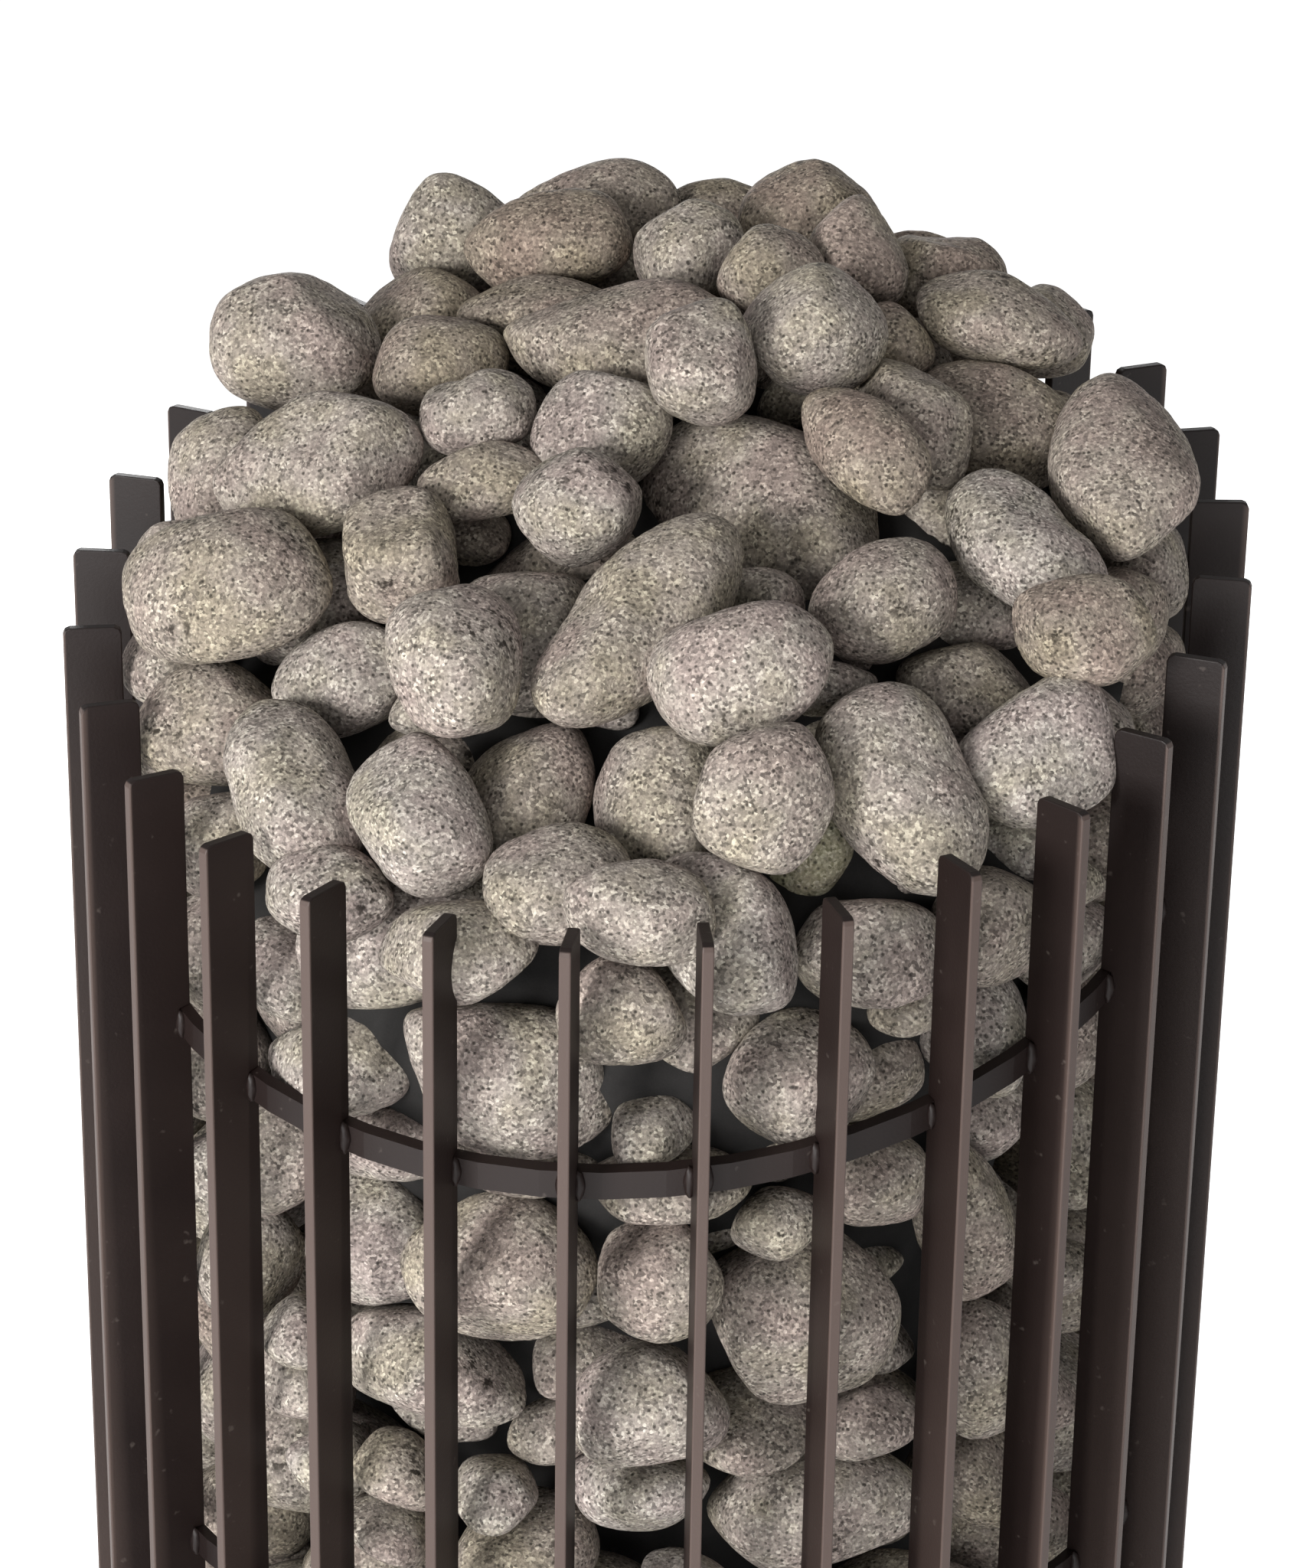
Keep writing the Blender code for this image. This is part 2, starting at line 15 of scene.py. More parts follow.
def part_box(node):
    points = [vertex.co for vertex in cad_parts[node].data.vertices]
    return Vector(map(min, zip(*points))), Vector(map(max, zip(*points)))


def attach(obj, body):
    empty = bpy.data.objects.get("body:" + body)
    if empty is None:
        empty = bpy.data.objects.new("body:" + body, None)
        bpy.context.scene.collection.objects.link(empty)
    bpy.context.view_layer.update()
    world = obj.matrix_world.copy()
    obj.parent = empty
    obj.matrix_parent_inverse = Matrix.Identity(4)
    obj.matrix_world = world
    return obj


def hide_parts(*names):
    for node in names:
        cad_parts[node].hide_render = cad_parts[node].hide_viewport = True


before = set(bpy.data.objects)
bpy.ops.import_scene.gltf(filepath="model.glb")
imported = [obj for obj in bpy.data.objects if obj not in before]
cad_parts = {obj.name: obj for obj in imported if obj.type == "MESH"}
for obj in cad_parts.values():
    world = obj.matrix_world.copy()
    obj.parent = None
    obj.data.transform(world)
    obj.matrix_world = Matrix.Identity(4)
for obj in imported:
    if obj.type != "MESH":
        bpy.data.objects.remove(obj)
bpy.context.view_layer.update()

BODY = "heater"
BARS = sorted(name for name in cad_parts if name.startswith("bar_"))
CROWNS = sorted(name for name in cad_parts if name.startswith("crown_stone_"))
FEET = sorted(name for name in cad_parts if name.startswith("foot_"))
ELEMENTS = sorted(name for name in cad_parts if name.startswith("heating_element_"))


# ---------------------------------------------------------------- sizes taken from the frame

def extent(name):
    """Lowest and highest corner of a node, as arrays."""
    low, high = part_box(name)
    return np.array(low), np.array(high)


def cage_sizes():
    """Cage radius, bar count, bar depth, thickness, and the slanted cut's middle height and slope."""
    back_bar = max(BARS, key=lambda name: extent(name)[1][2])
    low, high = extent(back_bar)
    radius, depth, thickness = high[1], high[1] - low[1], high[0] - low[0]
    front_tip = min(extent(name)[1][2] for name in BARS)
    middle = radius - depth / 2
    front_y = -middle * cos(pi / len(BARS))
    slope = (high[2] - front_tip) / (middle - front_y)
    return radius, depth, thickness, high[2] - slope * middle, slope


RADIUS, DEPTH, THICKNESS, CUT_Z, CUT_SLOPE = cage_sizes()
INNER_RADIUS = RADIUS - DEPTH
FILL_LOW, FILL_HIGH = extent("stone_fill")
GRATE_TOP = FILL_LOW[2]
STONE_WALL = INNER_RADIUS - 0.0005   # the stones lean on the bars' inner edges from here

# The heap's surface through the middles of its top stones: crest behind the axis, falling to the front
CREST_Z = FILL_HIGH[2]
CREST_Y = 0.125
FALL_ALONG = 1.8             # metres of fall per square metre, along and across the slope
FALL_ACROSS = 1.2


def heap_height(x, y):
    """Height of the heap's surface, at the middles of its top stones."""
    return CREST_Z - FALL_ALONG * (y - CREST_Y) ** 2 - FALL_ACROSS * x ** 2


# ---------------------------------------------------------------- camera, light and floor

CAMERA_DISTANCE = 1.580      # from the middle of the slanted cut
CAMERA_BEARING = 13.6        # from the front towards +X
CAMERA_HEIGHT_ANGLE = 18.93
CAMERA_DIP = 22.09           # downwards
CAMERA_ROLL = 0.92
CAMERA_LENS = 99.7


def camera_place():
    """Where the camera stands, and the level direction from the axis towards it."""
    bearing, rise = radians(CAMERA_BEARING), radians(CAMERA_HEIGHT_ANGLE)
    outward = Vector((sin(bearing), -cos(bearing), 0))
    up = Vector((0, 0, 1))
    return Vector((0, 0, CUT_Z)) + CAMERA_DISTANCE * (outward * cos(rise) + up * sin(rise)), outward


def add_camera():
    """The camera looks down on the heap from the low side of the cage."""
    dip, roll = radians(CAMERA_DIP), radians(CAMERA_ROLL)
    place, outward = camera_place()
    up = Vector((0, 0, 1))
    ahead = -outward * cos(dip) - up * sin(dip)
    side = ahead.cross(up).normalized()
    top = side.cross(ahead)
    side, top = side * cos(roll) + top * sin(roll), top * cos(roll) - side * sin(roll)
    camera = bpy.data.objects.new("camera", bpy.data.cameras.new("camera"))
    bpy.context.scene.collection.objects.link(camera)
    turn = Matrix((side, top, -ahead)).transposed().to_4x4()
    camera.matrix_world = Matrix.Translation(place) @ turn
    camera.data.lens = CAMERA_LENS
    bpy.context.scene.camera = camera


ROOM_LIGHT = 0.49            # strength of the white room's light on the heater
FLOOR_SIZE = 60
# Soft boxes: name, place in metres, size of the square, watts, colour
SOFT_BOXES = [
    ("key_soft_box", (-1.2, -2.6, 1.35), 0.9, 106, (1.0, 0.985, 0.97)),
    ("fill_soft_box", (0.3, -2.7, 0.9), 1.2, 27, (1, 1, 1)),
    ("back_soft_box", (-0.9, 2.7, 1.1), 1.2, 46, (1, 1, 1)),
]


def add_lamp(name, place, size, power, colour):
    """A square soft box at place, turned to the middle of the cage's cut."""
    lamp = bpy.data.objects.new(name, bpy.data.lights.new(name, "AREA"))
    bpy.context.scene.collection.objects.link(lamp)
    lamp.data.size = size
    lamp.data.energy = power
    lamp.data.color = colour
    lamp.location = place
    lamp.rotation_euler = (Vector((0, 0, CUT_Z)) - Vector(place)).to_track_quat("-Z", "Y").to_euler()


def add_studio():
    """White room: a pale floor, a white sky and soft boxes over the front and the sides."""
    scene = bpy.context.scene
    scene.view_settings.view_transform = "Standard"
    world = bpy.data.worlds.new("white_room")
    world.use_nodes = True
    world.node_tree.nodes["Background"].inputs["Color"].default_value = (1, 1, 1, 1)
    tree = world.node_tree
    seen = node(tree, "ShaderNodeLightPath").outputs["Is Camera Ray"]
    tree.links.new(scaled(tree, seen, 0, 1, ROOM_LIGHT, 1), tree.nodes["Background"].inputs["Strength"])
    scene.world = world
    for box in SOFT_BOXES:
        add_lamp(*box)
    bpy.ops.mesh.primitive_plane_add(size=FLOOR_SIZE)
    floor = bpy.context.object
    floor.name = "floor"
    floor.data.materials.append(studio_floor())


# ---------------------------------------------------------------- materials

def colour(code):
    """An sRGB hex code as linear red, green, blue and alpha."""
    values = [int(code[i:i + 2], 16) / 255 for i in (1, 3, 5)]
    return (*[v / 12.92 if v <= 0.04045 else ((v + 0.055) / 1.055) ** 2.4 for v in values], 1.0)


def node(tree, kind, settings=None, **links):
    """Add one node: settings are its properties and unlinked sockets, links are sockets fed by others."""
    made = tree.nodes.new(kind)
    for key, value in (settings or {}).items():
        if hasattr(made, key):
            setattr(made, key, value)
        else:
            made.inputs[key].default_value = value
    for key, source in links.items():
        socket = made.inputs[int(key[1:])] if key[1:].isdigit() else made.inputs[key.replace("_", " ")]
        tree.links.new(source, socket)
    return made


def ramp(tree, source, stops):
    """A colour ramp with (position, hex) stops."""
    made = node(tree, "ShaderNodeValToRGB", None, Fac=source)
    elements = made.color_ramp.elements
    while len(elements) < len(stops):
        elements.new(0.5)
    for element, (position, code) in zip(elements, stops):
        element.position = position
        element.color = colour(code)
    return made.outputs["Color"]


def start_material(name, **sockets):
    """A material with a Principled shader whose plain sockets are set."""
    material = bpy.data.materials.new(name)
    material.use_nodes = True
    tree = material.node_tree
    shader = tree.nodes["Principled BSDF"]
    for key, value in sockets.items():
        shader.inputs[key.replace("_", " ")].default_value = value
    place = tree.nodes.new("ShaderNodeTexCoord").outputs["Object"]
    return material, tree, shader, place


def mixed(tree, amount, first, second, blend="MIX"):
    """Mix two colours."""
    made = tree.nodes.new("ShaderNodeMix")
    made.data_type = "RGBA"
    made.blend_type = blend
    for socket, value in ((made.inputs[0], amount), (made.inputs[6], first), (made.inputs[7], second)):
        if isinstance(value, bpy.types.NodeSocket):
            tree.links.new(value, socket)
        else:
            socket.default_value = value
    return made.outputs[2]


def noise(tree, place, scale, detail, roughness=0.5):
    """Cloudy noise; scale is in waves per metre, about."""
    return node(tree, "ShaderNodeTexNoise", {"Scale": scale, "Detail": detail, "Roughness": roughness},
                Vector=place).outputs["Fac"]


def scaled(tree, value, low, high, least=0.0, most=1.0):
    """A value that goes from least to most while the given one goes from low to high."""
    return node(tree, "ShaderNodeMapRange",
                {"From Min": low, "From Max": high, "To Min": least, "To Max": most}, Value=value).outputs[0]


def reckoned(tree, operation, first, second):
    """Two values added, subtracted or multiplied."""
    return node(tree, "ShaderNodeMath", {"operation": operation}, _0=first, _1=second).outputs[0]


def finish_material(tree, shader, tint, rough, height, strength, distance):
    """Lead the colour, the roughness and a bump of the given height into the shader."""
    tree.links.new(tint, shader.inputs["Base Color"])
    tree.links.new(rough, shader.inputs["Roughness"])
    bump = node(tree, "ShaderNodeBump", {"Strength": strength, "Distance": distance}, Height=height)
    tree.links.new(bump.outputs["Normal"], shader.inputs["Normal"])


def studio_floor():
    """Matt white studio paint with a barely visible roller stipple of about 4 mm, lit a little from below."""
    material, tree, shader, place = start_material("matt_white_studio_paint", Roughness=0.9)
    stipple = ramp(tree, noise(tree, place, 250, 2), [(0.3, "#f6f6f6"), (0.7, "#fafafa")])
    tree.links.new(stipple, shader.inputs["Base Color"])
    shader.inputs["Emission Color"].default_value = (1, 1, 1, 1)
    shader.inputs["Emission Strength"].default_value = 0.58
    return material


def sauna_stone(name, dark, mid, light, tint):
    """Tumbled olivine diabase: grey, with salt-and-pepper mineral grains of 0.5 to 1.5 mm and small pits.

    The dry tumbled surface is matt and powdery, so there is hardly any highlight.
    """
    material, tree, shader, place = start_material(name, Roughness=0.88, Specular_IOR_Level=0.2)
    grain = noise(tree, place, 900, 1, 0.6)
    body = ramp(tree, noise(tree, place, 45, 4, 0.6), [(0.28, dark), (0.50, mid), (0.72, light)])
    # Crystals of all shades, stronger in some patches
    crystal = node(tree, "ShaderNodeTexVoronoi", {"Scale": 950.0, "Randomness": 1.0}, Vector=place)
    tone = node(tree, "ShaderNodeSeparateColor", None, Color=crystal.outputs["Color"])
    speck = ramp(tree, tone.outputs["Red"], [(0.0, "#2b2826"), (0.17, "#4a4642"), (0.27, "#8d8781"),
                                             (0.70, "#a7a09a"), (0.82, "#cdc8be"), (1.0, "#efebe2")])
    body = mixed(tree, scaled(tree, noise(tree, place, 130, 2), 0.35, 0.65, 0.30, 0.62), body, speck)
    # Larger dark grains
    fleck = node(tree, "ShaderNodeTexVoronoi", {"Scale": 520.0, "Randomness": 1.0}, Vector=place)
    pepper = node(tree, "ShaderNodeSeparateColor", None, Color=fleck.outputs["Color"])
    pick = scaled(tree, pepper.outputs["Green"], 0.66, 0.76)
    near = scaled(tree, fleck.outputs["Distance"], 0.46, 0.20, 0.0, 0.85)
    body = mixed(tree, reckoned(tree, "MULTIPLY", pick, near), body, colour("#35322f"))
    body = mixed(tree, 1.0, body, scaled(tree, grain, 0.30, 0.70, 0.74, 1.24), "MULTIPLY")
    # Open pits where the skin is worn
    where = scaled(tree, noise(tree, place, 30, 2), 0.60, 0.68)
    hole = scaled(tree, noise(tree, place, 330, 2, 0.6), 0.48, 0.36)
    pitted = reckoned(tree, "MULTIPLY", where, hole)
    body = mixed(tree, pitted, body, colour("#3a3632"))
    # Each stone's own random tone with painted shade, lighter and cooler at the low front and darker and
    # browner towards the crest, and veins of slightly other colours
    shade = node(tree, "ShaderNodeAttribute", {"attribute_name": "stone_shade"}).outputs["Fac"]
    body = mixed(tree, 1.0, body, mixed(tree, shade, colour(tint), (1.0, 1.0, 1.0, 1.0)), "MULTIPLY")
    mineral = ramp(tree, noise(tree, place, 32, 3),
                   [(0.36, "#f6eff2"), (0.50, "#fdfdfd"), (0.64, "#f8f8ee")])
    body = mixed(tree, 1.0, body, mineral, "MULTIPLY")
    small_pit = scaled(tree, noise(tree, place, 240, 4, 0.6), 0.30, 0.42)
    height = reckoned(tree, "SUBTRACT", reckoned(tree, "ADD", small_pit, grain), pitted)
    finish_material(tree, shader, body, scaled(tree, grain, 0, 1, 0.80, 0.95), height, 0.4, 0.0006)
    return material


def powder_coat():
    """Heat-proof polyester powder on flat steel, baked to a satin dark brown-black with fine orange peel.

    The bars' outer edges get a painted highlight, so they read a little lighter and browner.
    """
    material, tree, shader, place = start_material("powder_coated_flat_steel", IOR=1.5,
                                                   Specular_IOR_Level=0.25)
    haze = noise(tree, place, 9, 4, 0.6)
    body = ramp(tree, haze, [(0.3, "#130b0a"), (0.55, "#19100e"), (0.8, "#201614")])
    # Painted highlight: the bars' outer edges turn lighter and browner
    edge = node(tree, "ShaderNodeAttribute", {"attribute_name": "edge_wear"}).outputs["Fac"]
    body = mixed(tree, edge, body, colour("#51443f"))
    dust = scaled(tree, noise(tree, place, 210, 2), 0.70, 0.78, 0.0, 0.22)
    body = mixed(tree, dust, body, colour("#6f6660"))
    peel = noise(tree, place, 900, 3, 0.55)
    finish_material(tree, shader, body, scaled(tree, haze, 0, 1, 0.40, 0.58), peel, 0.16, 0.0004)
    return material


def rolled_metal(name, dark, light, roughness, grain_scale):
    """Rolled or drawn metal: long fine grain and a cloudy tint."""
    material, tree, shader, place = start_material(name, Metallic=1.0)
    stretch = node(tree, "ShaderNodeMapping", {"Scale": (grain_scale, grain_scale, 20.0)}, Vector=place)
    grain = noise(tree, stretch.outputs[0], 1, 4)
    body = ramp(tree, noise(tree, place, 35, 3), [(0.3, dark), (0.7, light)])
    rough = scaled(tree, grain, 0, 1, roughness, roughness + 0.2)
    finish_material(tree, shader, body, rough, grain, 0.08, 0.0003)
    return material


def moulded(name, dark, light, roughness, texture):
    """A moulding: faint mottling and the mould's fine spark-eroded texture."""
    material, tree, shader, place = start_material(name, IOR=1.5)
    fine = noise(tree, place, 1600, 2)
    body = ramp(tree, noise(tree, place, 90, 3), [(0.3, dark), (0.7, light)])
    rough = scaled(tree, fine, 0, 1, roughness - 0.08, roughness + 0.08)
    finish_material(tree, shader, body, rough, fine, texture, 0.0002)
    return material


# ---------------------------------------------------------------- stones as shapes

Stone = namedtuple("Stone", "middle turn size seed")
FACETS = 11                  # flattened sides of a tumbled stone
FACET_NUDGE = 0.22           # how unevenly they are spread
FACET_REACH = (0.76, 1.05)   # how far out they lie, as shares of the radius
SHARPNESS = 9.0              # how crisply the flattened sides meet
FLATNESS = 0.88              # 1 is all flats, 0 is a ball
CORNER_LIMIT = 1.10          # corners are worn down to about this reach
CORNER_WEAR = 10             # how sharply that limit sets in
SWELLS = 5                   # low swells round the stone
SWELL_WAVE = 1.7             # radians of swell per radius, one standard deviation
SWELL = 0.013                # their height, as a share of the radius
DENTS = 14
DENT_WIDTH = (0.08, 0.30)    # radians
DENT_DEPTH = (0.002, 0.014)  # shares of the radius
DENT_STEEPNESS = 1.5
GRAIN_SEED = 7000
GRAIN_WAVES = 36             # fine waves that roughen the surface
GRAIN_HEIGHT = 0.00012
GRAIN_LENGTH = (0.005, 0.016)


def unit_sphere(level):
    """Directions and triangles of an icosphere."""
    shape = bmesh.new()
    bmesh.ops.create_icosphere(shape, subdivisions=level, radius=1)
    points = np.array([vert.co[:] for vert in shape.verts])
    faces = np.array([[vert.index for vert in face.verts] for face in shape.faces])
    shape.free()
    return points / np.linalg.norm(points, axis=1)[:, None], faces


SPHERES = {level: unit_sphere(level) for level in (3, 4, 5)}


def spread_directions(count, rng):
    """Directions spread evenly over the sphere, then nudged."""
    index = np.arange(count) + 0.5
    height = 1 - 2 * index / count
    angle = pi * (1 + 5 ** 0.5) * index
    flat = np.sqrt(1 - height ** 2)
    points = np.stack([flat * np.cos(angle), flat * np.sin(angle), height], axis=1)
    points += rng.normal(0, FACET_NUDGE, points.shape)
    return points / np.linalg.norm(points, axis=1)[:, None]


def stone_reach(directions, seed):
    """How far the stone reaches in each direction: soft flats, low swells and shallow dents."""
    rng = np.random.default_rng(seed)
    normals = spread_directions(FACETS, rng)
    offsets = rng.uniform(*FACET_REACH, FACETS)
    push = np.clip(directions @ normals.T / offsets, 0, None)
    reach = FLATNESS * (push ** SHARPNESS).sum(axis=1) ** (-1 / SHARPNESS) + (1 - FLATNESS)
    reach = reach / (1 + (reach / CORNER_LIMIT) ** CORNER_WEAR) ** (1 / CORNER_WEAR)
    for _ in range(SWELLS):
        wave = rng.normal(0, SWELL_WAVE, 3)
        reach = reach * (1 + SWELL * np.sin(directions @ wave + rng.uniform(0, 2 * pi)))
    for _ in range(DENTS):
        axis = rng.normal(0, 1, 3)
        axis /= np.linalg.norm(axis)
        wide, deep = rng.uniform(*DENT_WIDTH), rng.uniform(*DENT_DEPTH)
        away = np.arccos(np.clip(directions @ axis, -1, 1)) / wide
        reach = reach * (1 - deep * np.exp(-away ** 2 * DENT_STEEPNESS))
    return reach


def tumbled_grain(points, seed):
    """Small surface waves in metres, as offsets for points given in metres."""
    rng = np.random.default_rng(seed + GRAIN_SEED)
    offset = np.zeros(len(points))
    for _ in range(GRAIN_WAVES):
        wave = rng.normal(0, 1, 3)
        wave *= 2 * pi / (np.linalg.norm(wave) * rng.uniform(*GRAIN_LENGTH))
        offset += np.sin(points @ wave + rng.uniform(0, 2 * pi))
    return offset * GRAIN_HEIGHT / (GRAIN_WAVES / 2) ** 0.5


def stone_local(stone, level, grain=True):
    """The stone's surface about its own middle, scaled to its size, unturned."""
    directions, _ = SPHERES[level]
    shape = directions * stone_reach(directions, stone.seed)[:, None]
    low, high = shape.min(axis=0), shape.max(axis=0)
    shape = (shape - (low + high) / 2) / (high - low) * stone.size
    if grain and level >= 5:
        outward = directions / stone.size
        outward /= np.linalg.norm(outward, axis=1)[:, None]
        shape = shape + outward * tumbled_grain(shape, stone.seed)[:, None]
    return shape


def stone_points(stone, level, grain=True):
    """The stone's surface in its place."""
    return stone_local(stone, level, grain) @ np.array(stone.turn).T + stone.middle


def laid(x, y, turn, lean=0.0, roll=0.0):
    """Rotation of a stone that lies on the heap at (x, y): its flat side follows the heap's surface."""
    normal = Vector((2 * FALL_ACROSS * x, 2 * FALL_ALONG * (y - CREST_Y), 1)).normalized()
    slope = Vector((0, 0, 1)).rotation_difference(normal).to_matrix()
    own = Matrix.Rotation(radians(turn), 3, "Z") @ Matrix.Rotation(-radians(lean), 3, "Y")
    return np.array(slope @ own @ Matrix.Rotation(radians(roll), 3, "X"))


# Top stones of the heap: plan place in cm; length, width and thickness in mm; turn and lean in degrees;
# lift above the heap's surface in mm; kind picks another random shape
TopStone = namedtuple("TopStone", "x y length width height turn lean lift kind", defaults=[0])
TOP_STONES = [
    (-11.2, 7.0, 58, 48, 42, 20, 0, 0), (-11.2, 12.2, 50, 42, 54, 40, 15, 0),
    (-6.5, 16.4, 66, 38, 34, -4, 0, 6, 1), (-6.2, 11.0, 62, 44, 40, 6, 0, 3),
    (-9.4, 12.8, 30, 28, 26, 60, 0, -14), (-6.0, 4.9, 60, 32, 27, 6, 0, 0),
    (2.6, 8.8, 40, 38, 36, 70, 0, 0), (5.5, 10.8, 46, 36, 40, 110, 20, 2),
    (6.1, 16.4, 48, 30, 30, -20, 0, 4), (11.5, 11.4, 40, 34, 32, 30, 0, 0),
    (10.7, 7.4, 62, 38, 30, 4, 0, 0), (-1.7, 3.4, 94, 52, 36, 8, 0, -4),
    (0.9, 1.2, 50, 38, 40, 95, 0, 2), (5.0, 3.8, 52, 46, 44, 40, 0, 2),
    (7.0, 6.4, 42, 38, 34, 20, 0, -5), (8.6, 1.6, 60, 38, 36, -50, 0, 2),
    (12.0, 3.4, 62, 48, 40, -8, 0, 2), (15.6, 2.6, 84, 52, 44, -75, 0, 0),
    (-8.9, 2.6, 50, 38, 34, 30, 0, 0), (-15.7, -0.8, 54, 42, 42, 80, 0, 0),
    (-11.0, -2.4, 74, 54, 42, 12, 0, 0), (-6.2, -2.8, 46, 32, 24, 8, 0, 2),
    (-2.4, -1.2, 50, 44, 40, 60, 0, 2), (-2.3, -5.2, 44, 42, 38, 12, 0, 2),
    (5.0, -3.0, 98, 70, 54, -36, 0, 3), (8.0, -1.4, 58, 34, 30, -42, 0, 6),
    (-10.6, -7.0, 60, 48, 40, 14, 0, -10), (-14.6, -6.4, 78, 56, 46, 2, 0, 0),
    (-3.6, -7.0, 60, 50, 40, 60, 0, -10), (5.2, -9.0, 62, 50, 42, 24, 0, 2),
    (16.2, -4.8, 50, 38, 34, 14, 0, 2), (11.6, -5.8, 48, 38, 30, 12, 0, -14),
    (-3.8, -10.6, 58, 44, 42, 108, 0, 0), (-8.8, -10.2, 52, 40, 36, 14, 0, -3),
    (-13.8, -10.2, 56, 46, 40, 8, 0, -8), (-6.0, -13.0, 56, 44, 40, 112, 0, -2),
    (-0.9, -12.8, 56, 44, 42, 76, 0, -2), (3.4, -12.8, 52, 46, 42, 95, 0, -4),
    (6.8, -12.7, 52, 44, 42, 92, 0, 0), (14.0, -7.6, 60, 48, 40, 50, 0, -6),
    (16.6, -6.8, 42, 36, 34, 60, 0, -14), (15.4, -8.8, 38, 34, 30, 20, 0, -20),
    (-4.4, -15.2, 78, 50, 42, 6, 0, -26), (6.4, -15.8, 62, 44, 38, -34, 0, -4),
    (1.7, -15.8, 54, 42, 36, 30, 0, -18), (4.8, -15.8, 58, 42, 34, 6, 0, -38),
    (12.0, -12.8, 52, 42, 40, 20, 0, -26), (8.4, -11.6, 38, 34, 30, 20, 0, -31),
    (-1.6, 15.6, 48, 38, 32, 0, 0, 6), (-12.8, -8.4, 44, 36, 34, 30, 0, -34),
    (-16.2, -8.4, 40, 34, 34, 80, 0, -30), (16.6, -4.6, 40, 34, 34, 60, 0, -36),
    (0.4, 7.0, 40, 36, 34, 0, 0, -10), (8.0, 8.2, 36, 32, 30, 0, 0, -8),
    (13.0, 5.4, 36, 32, 28, 0, 0, -12), (17.2, -1.0, 38, 34, 34, 60, 0, -16),
    (-17.0, -3.4, 36, 34, 34, 0, 0, -10), (12.2, -3.6, 42, 36, 34, 0, 0, -18),
]
HIDDEN_SHARE = 1.04          # the sizes above are what shows of each stone
PALE_STONE = 47              # one stone of another rock, greenish yellow

# Stones that show behind the front bars: bearing, height of the middle in cm, width, height, depth in mm
WallStone = namedtuple("WallStone", "bearing z width height depth spin")
WALL_STONES = [
    (-12, 61.8, 70, 40, 46, -12), (14, 61.4, 56, 42, 44, 10), (58, 60.2, 44, 54, 42, 10),
    (-42, 62.6, 40, 48, 40, 0), (33, 64.0, 74, 64, 48, -20), (-19, 66.0, 54, 48, 44, 10),
    (-3, 66.2, 68, 54, 46, 10), (14, 66.2, 44, 42, 40, 30), (54, 66.8, 36, 64, 40, 12),
    (41, 69.6, 46, 36, 38, -25), (-36, 68.0, 44, 46, 40, 20), (16, 69.6, 56, 24, 40, 0),
    (0, 70.6, 56, 24, 40, 0), (-20, 70.8, 54, 34, 42, 0), (4, 74.2, 78, 52, 48, -14),
    (24, 73.8, 52, 48, 44, 30), (37, 73.4, 50, 38, 40, 0), (-22, 74.8, 56, 38, 42, 14),
    (-44, 73.4, 42, 44, 40, 30), (54, 74.6, 42, 46, 40, 20), (78, 66.9, 42, 48, 40, 0),
    (86, 76.0, 40, 48, 40, 0), (-56, 78.0, 44, 44, 40, 0), (-62, 70.0, 46, 50, 42, 20),
    (-9, 77.8, 58, 34, 40, 8), (13, 77.8, 52, 34, 40, -8), (-29, 78.4, 48, 34, 38, 6),
    (13, 75.2, 44, 40, 36, 0), (-31, 74.2, 44, 38, 38, 10), (-47, 79.0, 42, 38, 38, 0),
]


def top_stones():
    """The listed top stones, laid on the heap's surface."""
    stones = []
    for index, item in enumerate(TopStone(*row) for row in TOP_STONES):
        x, y = item.x / 100, item.y / 100
        middle = np.array([x, y, heap_height(x, y) + item.lift / 1000])
        size = np.array([item.length, item.width, item.height]) / 1000 * HIDDEN_SHARE
        stones.append(Stone(middle, laid(x, y, item.turn, item.lean), size,
                            TOP_SEED + index + KIND_STEP * item.kind))
    return stones


TOP_SEED = 100
KIND_STEP = 50
WALL_SEED = 300
RIM_SEED = WALL_SEED + len(WALL_STONES)

# Rows of stones against the bars just under the heap's rim, round the sides and the back
RIM_BEARINGS = range(66, 300, 14)
RIM_DROPS = (0.045, 0.084, 0.124)
RIM_STAGGER = 7              # degrees from row to row
RIM_SIZES = ((46, 58), (35, 43), (36, 44))      # least and most width, height and depth in mm
RIM_SPIN = (-16, 16)


def rim_stones():
    """Stones that close the wall under the heap's rim where none is listed."""
    rng = np.random.default_rng(23)
    stones = []
    for row, drop in enumerate(RIM_DROPS):
        for step in RIM_BEARINGS:
            bearing = step + RIM_STAGGER * row
            width, height, depth = (rng.uniform(*limits) for limits in RIM_SIZES)
            x, y = STONE_WALL * sin(radians(bearing)), -STONE_WALL * cos(radians(bearing))
            z = 100 * (heap_height(x, y) - drop)
            stones.append((bearing, z, width, height, depth, rng.uniform(*RIM_SPIN)))
    return stones


def wall_stones():
    """The stones that lie against the bars: the listed ones at the front, and the rows under the rim."""
    stones = []
    for index, item in enumerate(WallStone(*row) for row in WALL_STONES + rim_stones()):
        bearing = radians(item.bearing)
        reach = STONE_WALL - item.depth / 2000
        middle = np.array([reach * sin(bearing), -reach * cos(bearing), item.z / 100])
        size = np.array([item.width, item.depth, item.height]) / 1000
        turn = Matrix.Rotation(bearing, 3, "Z") @ Matrix.Rotation(-radians(item.spin), 3, "Y")
        stones.append(Stone(middle, np.array(turn), size, WALL_SEED + index))
    return stones


# ---------------------------------------------------------------- laying the stones without overlap

